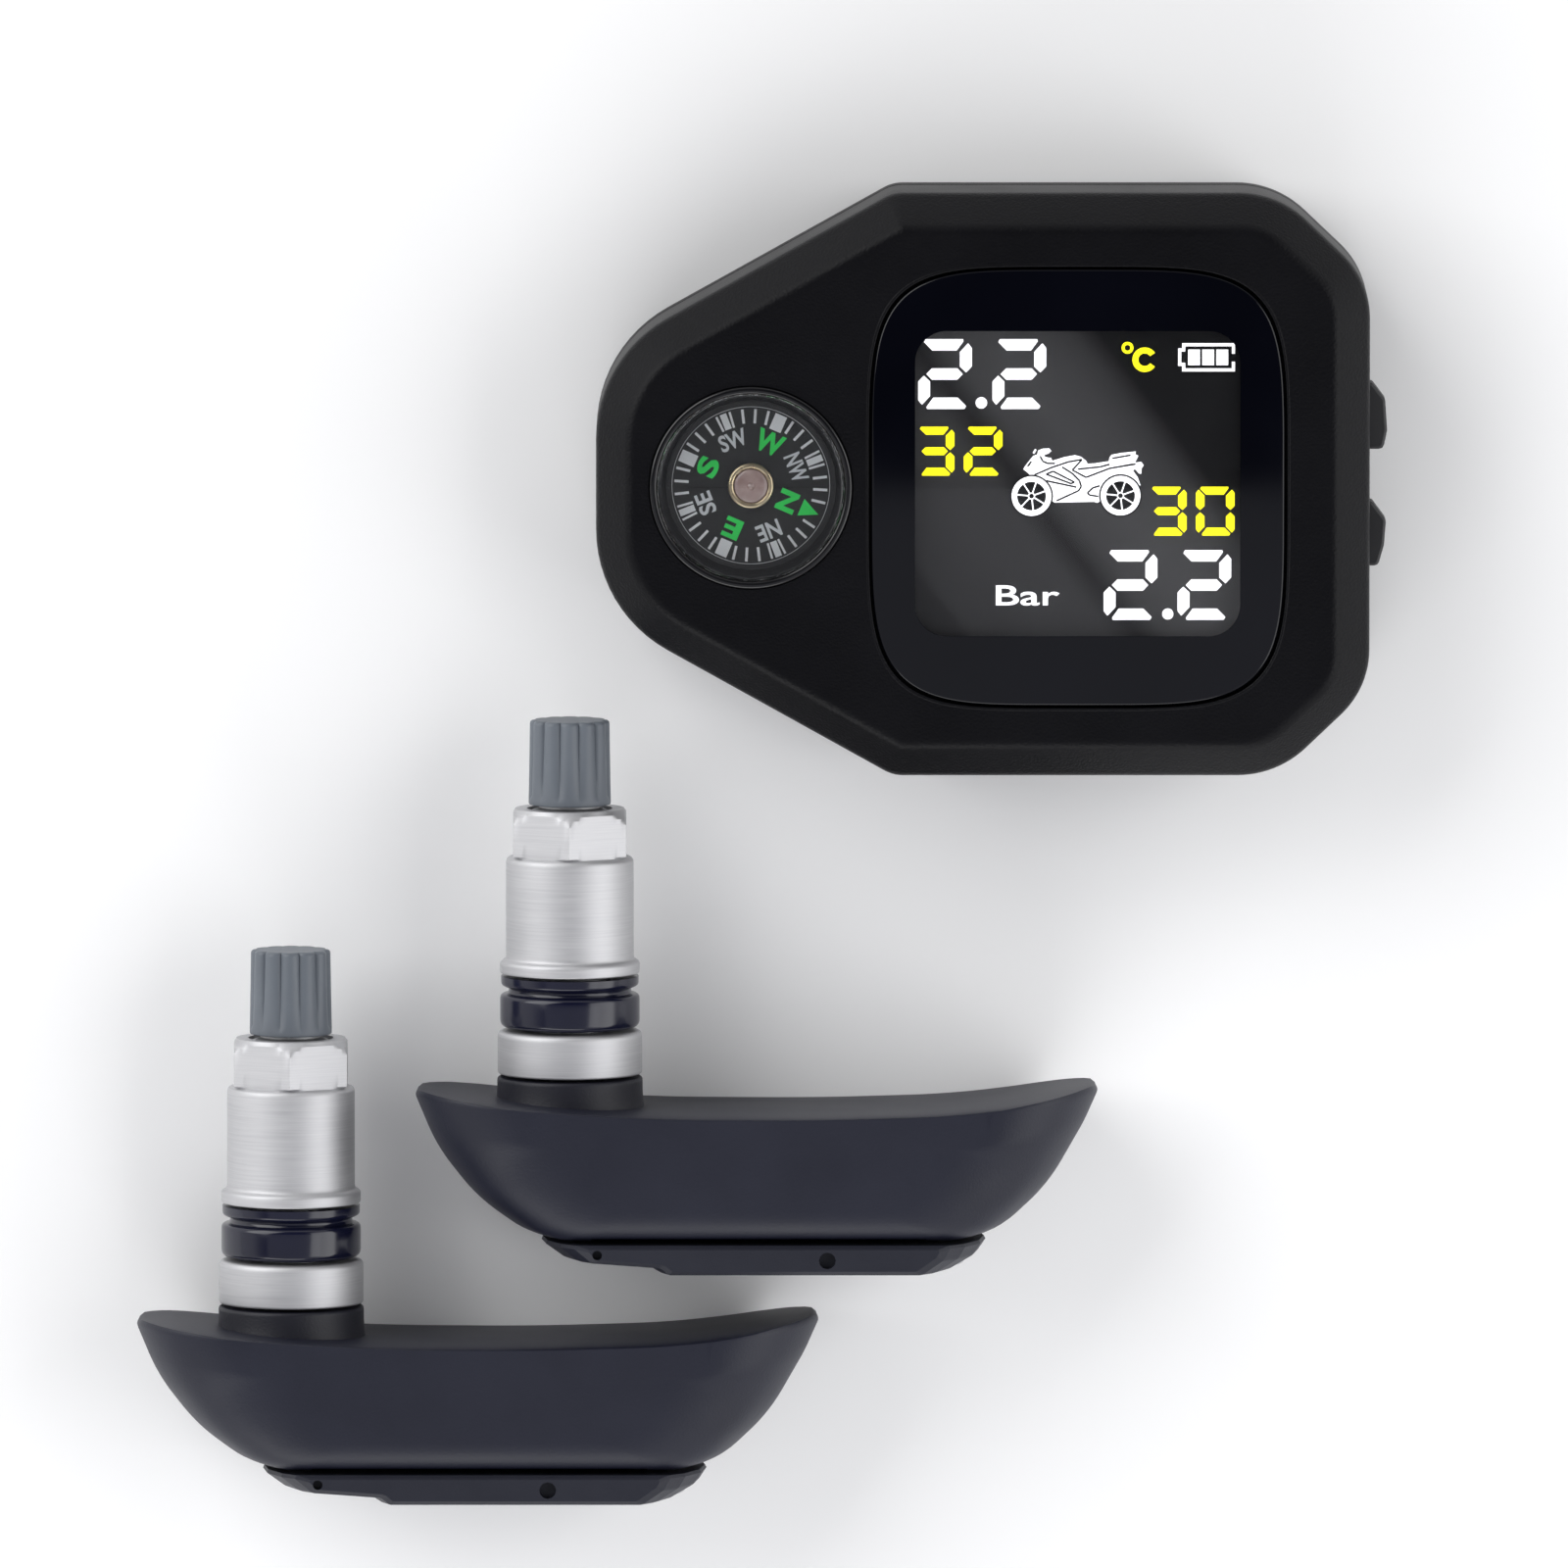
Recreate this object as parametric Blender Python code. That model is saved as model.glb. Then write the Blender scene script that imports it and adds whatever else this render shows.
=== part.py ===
"""Tyre pressure monitor kit for a motorcycle or caravan: display with compass, and two wheel sensors.

All lengths are in millimetres and become metres in place(). World frame: +X to the display's right,
+Y to its top, +Z out of its face. The table is z = 0 and the display's rear pad is centred on the origin.
"""
import math

import bmesh
import bpy

MM = 0.001
GAP = 0.3

# Display housing: (x, y, corner radius), counter-clockwise
HOUSING = [
    (-39.3, -12.8, 14.0),
    (-9.4, -29.45, 4.0),
    (29.3, -29.45, 10.0),
    (38.6, -20.6, 9.0),
    (38.6, 20.6, 9.0),
    (29.3, 29.45, 10.0),
    (-9.4, 29.45, 4.0),
    (-39.3, 12.8, 14.0),
]
WALL = 1.8
PAD_TOP = 1.0
COVER_BOTTOM = 1.3
COVER_FLOOR = 3.1
COVER_TOP = 6.2
SHELL_BOTTOM = 6.5
CHAMFER_BASE = 17.2
CHAMFER_WIDTH = 3.3
PLATE_UNDER = 17.6
FACE = 21.0

# Screw pillars of the display
PILLARS = [(-16.0, 20.5), (-16.0, -20.5), (31.5, 19.5), (31.5, -19.5)]
PILLAR_END = 5.2

# Lens, a superellipse
LENS_CENTRE = (9.2, 0.0)
LENS_A = 21.07
LENS_B = 22.3
LENS_POWER = 4.65
LENS_SEAT = 18.6
LENS_UNDER = 19.4

# Screen stack
BOARD_UNDER = 8.4
BOARD_TOP = 9.4
FRAME_BOX = (-9.6, 27.4, -18.6, 18.6)
FRAME_UNDER = 9.7
FRAME_TOP = 15.2
LCD_BOX = (-8.4, 26.6, -17.4, 17.4)
LCD_UNDER = 15.5
LCD_TOP = 18.9
LCD_CORNER = 5.5
FRAME_SCREWS = [(-7.0, 16.0), (24.8, -16.0)]

# Compass capsule
COMPASS = (-23.7, 0.0)
COMPASS_BORE = 10.3
COMPASS_CUP = 10.0
COMPASS_INNER = 8.9
CARD_RADIUS = 8.4

# Buttons in the right wall
BUTTON_Z = (9.9, 13.9)
BUTTON_TRAVEL = 0.5
SWITCH_Z = 11.35

# Wheel sensors: (suffix, stem x, top of the boss y)
SENSORS = [("a", -42.0, -60.5), ("b", -70.2, -83.8)]
SENSOR_DEPTH = 22.0
STEM_Z = 11.0
SENSOR_BODY = [
    (-16.0, 0.8, 0.7),
    (-13.5, -5.1, 18.0),
    (-9.5, -10.2, 18.0),
    (-4.0, -14.1, 9.0),
    (42.8, -14.1, 8.0),
    (48.4, -8.9, 18.0),
    (52.0, -2.6, 18.0),
    (53.8, 1.4, 0.7),
    (47.5, 0.1, 20.0),
    (38.4, -1.0, 20.0),
    (24.7, -1.4, 20.0),
    (7.6, -1.3, 10.0),
    (-7.9, -0.2, 10.0),
]
# How far the lower edge of a sensor body is drawn in at its two sides
SENSOR_SINK = 2.9
# Rounding of a sensor body's two ends, seen along the stem
SENSOR_ROUND = 10.5
SENSOR_MIDDLE = 18.9
SENSOR_HALF = 34.9
# Height of the collar that carries the stem above the body's upper edge
SENSOR_COLLAR = 1.8
SENSOR_HOLLOW = [
    (-7.6, -3.6, 0.6),
    (-7.6, -6.0, 0.8),
    (2.2, -13.5, 0.6),
    (2.2, -15.5, 0.2),
    (36.0, -15.5, 0.2),
    (36.0, -13.5, 0.6),
    (44.6, -5.1, 0.8),
    (44.6, -3.6, 0.6),
]
SENSOR_COVER = [
    (-3.4, -14.4, 0.2),
    (-0.8, -16.2, 1.0),
    (7.4, -16.7, 0.5),
    (8.4, -17.4, 0.5),
    (38.6, -17.4, 1.0),
    (41.2, -15.9, 0.5),
    (42.2, -14.4, 0.2),
]
# Cover screw of a sensor: along the body, depth, height of the cover's underside there
COVER_SCREW = (38.2, 11.0, -17.4)
# Marks on the cover's side: (along the body, height, radius)
COVER_MARKS = [(2.8, -15.35, 0.5), (26.0, -15.9, 0.85)]
STEM_RADIUS = 4.0
STEM_BASE = 7.3
NUT_HEX = 11.4
CAP_RIBS = 12
CAP_FLUTE = 0.3


# ---------------------------------------------------------------- outlines

def rounded(corners, inset=0.0, steps=4):
    """Outline with an arc at each corner, moved inwards by inset."""
    points = []
    count = len(corners)
    for i in range(count):
        px, py, _ = corners[i - 1]
        x, y, radius = corners[i]
        qx, qy, _ = corners[(i + 1) % count]
        before = math.hypot(x - px, y - py)
        after = math.hypot(qx - x, qy - y)
        ax, ay = (x - px) / before, (y - py) / before
        bx, by = (qx - x) / after, (qy - y) / after
        share = 1.0 + ax * bx + ay * by
        cx = x + inset * (-ay - by) / share
        cy = y + inset * (ax + bx) / share
        turn = math.atan2(ax * by - ay * bx, ax * bx + ay * by)
        side = 1.0 if turn > 0 else -1.0
        arc = max(radius - side * inset, 0.15)
        reach = arc * math.tan(abs(turn) / 2)
        ox = cx - ax * reach - side * ay * arc
        oy = cy - ay * reach + side * ax * arc
        start = math.atan2(ay, ax) - side * math.pi / 2
        for k in range(steps + 1):
            angle = start + turn * k / steps
            points.append((ox + arc * math.cos(angle), oy + arc * math.sin(angle)))
    return points


def rectangle(x0, x1, y0, y1, radius):
    return [(x0, y0, radius), (x1, y0, radius), (x1, y1, radius), (x0, y1, radius)]


def lens_outline(inset, count=56):
    points = []
    for k in range(count):
        angle = 2 * math.pi * k / count
        c, s = math.cos(angle), math.sin(angle)
        x = (LENS_A - inset) * math.copysign(abs(c) ** (2 / LENS_POWER), c)
        y = (LENS_B - inset) * math.copysign(abs(s) ** (2 / LENS_POWER), s)
        points.append((LENS_CENTRE[0] + x, LENS_CENTRE[1] + y))
    return points


# ---------------------------------------------------------------- solids as (points, faces)

def loft(rings, closed=False):
    """Skin over rings of equal count; closed joins the last ring to the first."""
    count = len(rings[0])
    points = [point for ring in rings for point in ring]
    faces = []
    spans = len(rings) if closed else len(rings) - 1
    for i in range(spans):
        low = i * count
        high = ((i + 1) % len(rings)) * count
        for k in range(count):
            m = (k + 1) % count
            faces.append((low + k, low + m, high + m, high + k))
    if not closed:
        faces.append(tuple(reversed(range(count))))
        faces.append(tuple(range(len(points) - count, len(points))))
    return points, faces


def at_height(outline, z):
    return [(x, y, z) for x, y in outline]


def stacked(corners, levels, steps=4, closed=False):
    """Loft of one rounded outline through (inset, z) levels."""
    return loft([at_height(rounded(corners, inset, steps), z) for inset, z in levels], closed)


def box(x0, x1, y0, y1, z0, z1, radius=0.3, edge=0.0, steps=2):
    corners = rectangle(x0, x1, y0, y1, radius)
    if edge:
        return stacked(corners, [(edge, z0), (0.0, z0 + edge), (0.0, z1 - edge), (edge, z1)], steps)
    return stacked(corners, [(0.0, z0), (0.0, z1)], steps)


def turned(profile, segments=32, closed=False, radius_of=None):
    """Revolve (radius, z) about Z; a closed profile makes a ring."""
    rings = []
    for level, (radius, z) in enumerate(profile):
        ring = []
        for k in range(segments):
            angle = 2 * math.pi * k / segments
            r = radius_of(level, radius, k, angle) if radius_of else radius
            ring.append((r * math.cos(angle), r * math.sin(angle), z))
        rings.append(ring)
    return loft(rings, closed)


def shifted(solid, dx=0.0, dy=0.0, dz=0.0):
    points, faces = solid
    return [(x + dx, y + dy, z + dz) for x, y, z in points], faces


def about_y(solid):
    """Turn a solid made about Z so that its axis is +Y."""
    points, faces = solid
    return [(x, z, -y) for x, y, z in points], faces


def about_x(solid):
    """Turn a solid made about Z so that its axis is +X."""
    points, faces = solid
    return [(z, y, -x) for x, y, z in points], faces


def cylinder(x, y, z0, z1, radius, segments=20):
    return shifted(turned([(radius, z0), (radius, z1)], segments), x, y)


# ---------------------------------------------------------------- objects

def place(name, solid, origin=(0.0, 0.0, 0.0)):
    """Object with its origin at origin and the solid given in world millimetres."""
    points, faces = solid
    mesh = bpy.data.meshes.new(name)
    moved = [tuple((p - o) * MM for p, o in zip(point, origin)) for point in points]
    mesh.from_pydata(moved, [], faces)
    skin = bmesh.new()
    skin.from_mesh(mesh)
    bmesh.ops.recalc_face_normals(skin, faces=skin.faces)
    skin.to_mesh(mesh)
    skin.free()
    obj = bpy.data.objects.new(name, mesh)
    obj.location = [o * MM for o in origin]
    bpy.context.scene.collection.objects.link(obj)
    return obj


def combine(obj, solid, operation):
    """Exact Boolean with one solid, applied at once."""
    tool = place("tool", solid)
    change = obj.modifiers.new("combine", "BOOLEAN")
    change.solver = "EXACT"
    change.operation = operation
    change.object = tool
    bpy.context.view_layer.update()
    graph = bpy.context.evaluated_depsgraph_get()
    result = bpy.data.meshes.new_from_object(obj.evaluated_get(graph))
    obj.modifiers.clear()
    old = obj.data
    obj.data = result
    bpy.data.meshes.remove(old)
    result.name = obj.name
    tool_mesh = tool.data
    bpy.data.objects.remove(tool)
    bpy.data.meshes.remove(tool_mesh)


def cut(obj, *solids):
    for solid in solids:
        combine(obj, solid, "DIFFERENCE")


def join(obj, *solids):
    for solid in solids:
        combine(obj, solid, "UNION")


def finish(obj, colour, roughness=0.5, metallic=0.0, alpha=1.0):
    material = bpy.data.materials.new(obj.name)
    material.use_nodes = True
    shader = material.node_tree.nodes["Principled BSDF"]
    shader.inputs["Base Color"].default_value = (*colour, 1.0)
    shader.inputs["Roughness"].default_value = roughness
    shader.inputs["Metallic"].default_value = metallic
    shader.inputs["Alpha"].default_value = alpha
    obj.data.materials.clear()
    obj.data.materials.append(material)
    obj.color = (*colour, alpha)


BLACK = (0.02, 0.02, 0.025)
CHARCOAL = (0.04, 0.042, 0.05)
RUBBER = (0.03, 0.03, 0.035)
STEEL = (0.6, 0.6, 0.62)
ALUMINIUM = (0.7, 0.7, 0.72)
BRASS = (0.75, 0.55, 0.25)


# ---------------------------------------------------------------- display housing

def make_front_shell():
    outer = [(0.0, SHELL_BOTTOM), (0.0, CHAMFER_BASE), (CHAMFER_WIDTH, FACE)]
    shell = place("front_shell", stacked(HOUSING, outer))
    cut(
        shell,
        stacked(HOUSING, [(WALL, 6.0), (WALL, 16.4), (2.8, PLATE_UNDER)]),
        stacked(HOUSING, [(0.9, 6.0), (0.9, 7.9)]),
    )
    tube = [(COMPASS_BORE, 13.0), (11.4, 13.0), (11.4, 18.0), (COMPASS_BORE, 18.0)]
    join(shell, shifted(turned(tube, 28, closed=True), *COMPASS))
    for x, y in PILLARS:
        post = [(2.1, PILLAR_END), (2.1, FRAME_UNDER), (3.2, FRAME_UNDER), (3.2, 18.0)]
        join(shell, shifted(turned(post, 12), x, y))
    for x, y in PILLARS:
        cut(shell, cylinder(x, y, 4.0, 12.0, 1.3, 10))
    cut(
        shell,
        loft([at_height(lens_outline(0.0), LENS_SEAT), at_height(lens_outline(0.0), 22.0)]),
        loft([at_height(lens_outline(2.6), 17.0), at_height(lens_outline(2.6), 19.0)]),
        cylinder(COMPASS[0], COMPASS[1], 12.0, 22.0, COMPASS_BORE, 28),
        box(35.5, 42.0, 3.0, 10.3, BUTTON_Z[0] - GAP, BUTTON_Z[1] + GAP, 0.4),
        box(35.5, 42.0, -8.8, -1.7, BUTTON_Z[0] - GAP, BUTTON_Z[1] + GAP, 0.4),
        port_block(6.0, 8.6, 14.0, -31.0, -27.0, 2.6),
    )
    finish(shell, BLACK, 0.55)


def port_block(half, z0, z1, y0, y1, radius):
    """Rounded slot lying along Y, as wide as 2 * half."""
    ring = rounded(rectangle(-half, half, z0, z1, radius), 0.0, 4)
    near = [(x, y0, z) for x, z in ring]
    far = [(x, y1, z) for x, z in ring]
    return loft([near, far])


def make_rear_cover():
    outer = [(1.4, COVER_BOTTOM), (0.4, 2.1), (0.0, 3.3), (0.0, COVER_TOP)]
    cover = place("rear_cover", stacked(HOUSING, outer))
    cut(cover, stacked(HOUSING, [(WALL, COVER_FLOOR), (WALL, 7.0)]))
    for x, y in PILLARS:
        join(cover, cylinder(x, y, 2.0, PILLAR_END - GAP, 3.4, 16))
    for x, y in PILLARS:
        cut(cover, cylinder(x, y, 0.5, 3.1, 2.3, 16), cylinder(x, y, 2.0, 6.0, 1.3, 10))
    finish(cover, BLACK, 0.6)


def make_seal_and_pad():
    ring = [(1.2, 6.5), (1.2, 7.6), (1.9, 7.6), (1.9, 6.5)]
    seal = place("housing_seal", stacked(HOUSING, ring, 3, closed=True))
    finish(seal, RUBBER, 0.8)
    pad = place("mounting_pad", box(-26.0, 26.0, -18.0, 18.0, 0.0, PAD_TOP, 4.0, 0.0, 5))
    finish(pad, (0.05, 0.05, 0.055), 0.9)


def crossed_screw(x, y, z_head, head, height, shank, z_tip):
    """Pan head with a cross recess, standing on z_head and pointing up."""
    profile = [
        (head * 0.8, z_head),
        (head, z_head + height * 0.4),
        (head, z_head + height),
        (shank, z_head + height),
        (shank, z_tip - shank),
        (shank * 0.4, z_tip),
    ]
    return shifted(turned(profile, 12), x, y)


def make_case_screws():
    for i, (x, y) in enumerate(PILLARS):
        screw = place("case_screw_" + str(i + 1), crossed_screw(x, y, 1.6, 2.0, 1.2, 1.0, 11.5))
        cut(screw, box(x - 1.1, x + 1.1, y - 0.25, y + 0.25, 1.2, 2.2, 0.05, 0.0, 1))
        cut(screw, box(x - 0.25, x + 0.25, y - 1.1, y + 1.1, 1.2, 2.2, 0.05, 0.0, 1))
        finish(screw, STEEL, 0.35, 1.0)


def make_lens():
    rings = [(0.3, LENS_UNDER), (0.3, FACE - 0.25), (0.55, FACE)]
    lens = place("display_lens", loft([at_height(lens_outline(i), z) for i, z in rings]))
    finish(lens, (0.02, 0.02, 0.03), 0.06, 0.0, 0.35)
    band = [(0.4, 18.9), (2.3, 18.9), (2.3, 19.1), (0.4, 19.1)]
    tape = place("lens_tape", loft([at_height(lens_outline(i, 32), z) for i, z in band], closed=True))
    finish(tape, (0.05, 0.05, 0.05), 0.8)


# ---------------------------------------------------------------- screen stack

def make_screen():
    panel = place("lcd_panel", box(*LCD_BOX, LCD_UNDER, LCD_TOP, LCD_CORNER, 0.0, 5))
    finish(panel, (0.06, 0.065, 0.07), 0.2)
    guide = place("light_guide", box(-8.1, 25.9, -17.1, 17.1, 12.9, 15.1, 0.6))
    finish(guide, (0.85, 0.88, 0.9), 0.15, 0.0, 0.6)
    frame = place("lcd_frame", box(*FRAME_BOX, FRAME_UNDER, FRAME_TOP, 1.0))
    cut(
        frame,
        box(-8.4, 26.2, -17.4, 17.4, 12.6, 16.0, 0.4),
        box(-8.4, 26.2, -17.4, 17.4, 9.0, 11.4, 0.4),
    )
    for x, y in FRAME_SCREWS:
        join(frame, cylinder(x, y, FRAME_UNDER, 11.8, 1.9, 16))
    for x, y in FRAME_SCREWS:
        cut(frame, cylinder(x, y, 9.0, 12.3, 1.1, 12))
    finish(frame, (0.8, 0.8, 0.78), 0.5)
    for i, (x, y) in enumerate(FRAME_SCREWS):
        screw = place("board_screw_" + str(i + 1), crossed_screw(x, y, 7.1, 1.5, 1.0, 0.8, 11.9))
        finish(screw, STEEL, 0.35, 1.0)


def make_ribbon():
    """Flat flex from the edge of the panel down to the board."""
    line = [(-17.9, 16.3), (-19.6, 16.3), (-20.6, 15.4), (-20.6, 10.9), (-19.9, 10.1), (-19.1, 9.8)]
    thick = 0.2
    upper = []
    lower = []
    for i, (y, z) in enumerate(line):
        y0, z0 = line[max(i - 1, 0)]
        y1, z1 = line[min(i + 1, len(line) - 1)]
        length = math.hypot(y1 - y0, z1 - z0)
        ny, nz = -(z1 - z0) / length, (y1 - y0) / length
        upper.append((y + ny * thick / 2, z + nz * thick / 2))
        lower.append((y - ny * thick / 2, z - nz * thick / 2))
    loop = upper + lower[::-1]
    ends = [[(x, y, z) for y, z in loop] for x in (7.0, 19.0)]
    ribbon = place("lcd_ribbon", loft(ends))
    finish(ribbon, (0.6, 0.35, 0.1), 0.4)


def make_board():
    board = place("circuit_board", stacked(HOUSING, [(3.5, BOARD_UNDER), (3.5, BOARD_TOP)], 4))
    for x, y in PILLARS:
        cut(board, cylinder(x, y, 8.0, 10.0, 2.4, 20))
    for x, y in FRAME_SCREWS:
        cut(board, cylinder(x, y, 8.0, 10.0, 1.1, 12))
    chips = [
        (1.0, 8.0, 1.0, 8.0, 1.1),
        (12.0, 17.0, -9.0, -4.0, 0.9),
        (-5.0, -1.0, -9.0, -5.0, 0.9),
        (14.0, 20.0, 5.0, 8.5, 1.2),
    ]
    for x0, x1, y0, y1, high in chips:
        join(board, box(x0, x1, y0, y1, BOARD_TOP - 0.2, BOARD_TOP + high, 0.15, 0.0, 1))
    finish(board, (0.02, 0.12, 0.05), 0.4)
    buzzer = [(2.6, 9.7), (2.6, 11.7), (2.3, 12.0)]
    sounder = place("buzzer", shifted(turned(buzzer, 24), 24.2, -23.2))
    finish(sounder, (0.03, 0.03, 0.03), 0.5)


def make_antenna():
    """Sprung wire aerial, a helix along X beside the screen."""
    turns = 6
    per_turn = 9
    wire = 0.35
    radius = 1.7
    start, end = -8.0, 13.0
    rings = []
    total = turns * per_turn
    for k in range(total + 1):
        angle = 2 * math.pi * k / per_turn
        x = start + (end - start) * k / total
        cy, cz = math.cos(angle), math.sin(angle)
        ring = []
        for s in range(4):
            a = 2 * math.pi * s / 4
            reach = radius + wire * math.cos(a)
            ring.append((x + wire * math.sin(a), 23.2 + reach * cy, 11.9 + reach * cz))
        rings.append(ring)
    coil = place("antenna_coil", loft(rings))
    finish(coil, BRASS, 0.3, 1.0)


def make_power():
    cell = place("battery_cell", box(-6.0, 24.0, -12.5, 12.5, 3.5, 7.7, 2.0, 0.7, 3))
    finish(cell, (0.55, 0.57, 0.6), 0.35, 0.6)
    socket = place("usb_socket", box(-4.6, 4.6, -27.2, -20.2, 9.7, 12.9, 0.2, 0.0, 1))
    cut(socket, port_block(4.15, 10.1, 12.5, -28.0, -21.2, 1.1))
    finish(socket, STEEL, 0.3, 1.0)
    plug = place("port_plug", port_block(5.7, 8.9, 13.7, -29.4, -27.6, 2.3), (0.0, -29.4, 11.3))
    join(plug, port_block(3.7, 10.5, 12.1, -27.8, -23.6, 0.7))
    finish(plug, RUBBER, 0.8)


def make_switches():
    upper = [
        (35.5, 2.3, 0.2),
        (36.4, 2.3, 0.2),
        (36.4, 3.3, 0.2),
        (40.0, 3.3, 0.5),
        (40.4, 5.2, 1.0),
        (40.2, 8.3, 0.6),
        (38.9, 10.0, 0.4),
        (36.4, 10.0, 0.2),
        (36.4, 11.0, 0.2),
        (35.5, 11.0, 0.2),
    ]
    lower = [
        (35.5, -9.5, 0.2),
        (36.4, -9.5, 0.2),
        (36.4, -8.5, 0.2),
        (39.5, -8.5, 0.5),
        (40.1, -6.4, 1.0),
        (40.3, -3.9, 0.6),
        (38.9, -2.0, 0.4),
        (36.4, -2.0, 0.2),
        (36.4, -1.0, 0.2),
        (35.5, -1.0, 0.2),
    ]
    for side, outline, centre in (("upper", upper, 6.65), ("lower", lower, -5.25)):
        z0, z1 = BUTTON_Z
        levels = [(0.25, z0), (0.0, z0 + 0.25), (0.0, z1 - 0.25), (0.25, z1)]
        origin = (38.6, centre, (z0 + z1) / 2)
        button = place("button_" + side, stacked(outline, levels, 2), origin)
        finish(button, CHARCOAL, 0.6)
        body = place("switch_" + side, box(30.2, 34.4, centre - 2.4, centre + 2.4, 9.7, 13.0, 0.3))
        bore = about_x(turned([(1.0, 31.5), (1.0, 36.0)], 16))
        cut(body, shifted(bore, 0.0, centre, SWITCH_Z))
        finish(body, (0.05, 0.05, 0.05), 0.5)
        rod = about_x(turned([(0.7, 32.4), (0.7, 35.0), (0.55, 35.2)], 12))
        plunger = place("plunger_" + side, shifted(rod, 0.0, centre, SWITCH_Z), (35.2, centre, SWITCH_Z))
        finish(plunger, (0.5, 0.05, 0.04), 0.5)


# ---------------------------------------------------------------- compass

def compass_part(name, profile, segments=32, closed=False):
    solid = shifted(turned(profile, segments, closed), *COMPASS)
    return place(name, solid, (COMPASS[0], COMPASS[1], 18.0))


def make_compass():
    cup = [
        (9.6, 12.6),
        (COMPASS_CUP, 13.0),
        (COMPASS_CUP, 19.5),
        (COMPASS_INNER, 19.5),
        (COMPASS_INNER, 13.6),
    ]
    finish(compass_part("compass_cup", cup, 28), BLACK, 0.4)
    seal = [(9.1, 19.8), (9.8, 19.8), (9.8, 20.0), (9.1, 20.0)]
    finish(compass_part("compass_seal", seal, 24, True), RUBBER, 0.8)
    cover = [
        (9.9, 20.3),
        (9.9, 20.6),
        (9.35, 20.6),
        (9.15, 21.0),
        (6.2, 21.28),
        (3.2, 21.4),
        (0.8, 21.45),
    ]
    finish(compass_part("compass_dome", cover), (0.8, 0.85, 0.9), 0.02, 0.0, 0.2)
    rim = [(9.5, 20.9), (10.2, 20.9), (10.2, 21.15), (9.95, 21.35), (9.65, 21.35), (9.5, 21.2)]
    finish(compass_part("compass_ring", rim, 36, True), (0.05, 0.05, 0.055), 0.15, 0.5)
    card = [(CARD_RADIUS, 17.6), (CARD_RADIUS, 18.0)]
    finish(compass_part("compass_card", card), (0.01, 0.01, 0.01), 0.7)
    magnet = [(1.7, 15.8), (4.2, 15.8), (4.2, 17.3), (1.7, 17.3)]
    finish(compass_part("compass_magnet", magnet, 20, True), (0.3, 0.3, 0.32), 0.4, 0.8)
    hub = [(2.28, 18.3), (2.28, 18.6), (1.8, 18.6), (1.65, 18.85), (0.35, 18.95), (0.15, 19.3)]
    finish(compass_part("compass_hub", hub, 18), (0.7, 0.42, 0.2), 0.3, 1.0)
    pin = [(1.3, 13.9), (1.3, 14.5), (0.5, 14.7), (0.4, 16.8), (0.1, 17.3)]
    finish(compass_part("compass_pin", pin, 10), STEEL, 0.3, 1.0)


# ---------------------------------------------------------------- wheel sensors

def flat_along(corners, levels, dx, dy, steps=2):
    """Loft of a side profile through (inset, z), moved to its sensor."""
    return shifted(stacked(corners, levels, steps), dx, dy)


def upright(profile, x, y, z, segments=24, closed=False, radius_of=None):
    """Turned solid about +Y through (x, z), its profile heights measured from y."""
    return shifted(about_y(turned(profile, segments, closed, radius_of)), x, y, z)


def narrowed(outline, z):
    """Outline at height z, drawn in towards the middle near the body's two sides."""
    reach = max(abs(z - SENSOR_DEPTH / 2) - SENSOR_DEPTH / 2 + SENSOR_ROUND, 0.0)
    pull = SENSOR_ROUND - math.sqrt(SENSOR_ROUND ** 2 - reach ** 2)
    share = 1.0 - pull / SENSOR_HALF
    return [(SENSOR_MIDDLE + (u - SENSOR_MIDDLE) * share, v) for u, v in outline]


def sensor_outline(sink):
    """Body outline with its lower side drawn in; the long upper edge stays crisp."""
    points = []
    for u, v in rounded(SENSOR_BODY, 0.3 * sink, 2):
        depth = min(max((-2.0 - v) / 6.5, 0.0), 1.0)
        share = sink * depth * depth * (3.0 - 2.0 * depth)
        points.append((SENSOR_MIDDLE + (u - SENSOR_MIDDLE) * (1.0 - 0.075 * share), v + SENSOR_SINK * share))
    return points


def both_sides(levels):
    """Levels of one side of the body, its middle, then the same for the other side."""
    other = [(inset, SENSOR_DEPTH - z) for inset, z in reversed(levels)]
    return levels + [(0.0, SENSOR_DEPTH / 2)] + other


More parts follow.
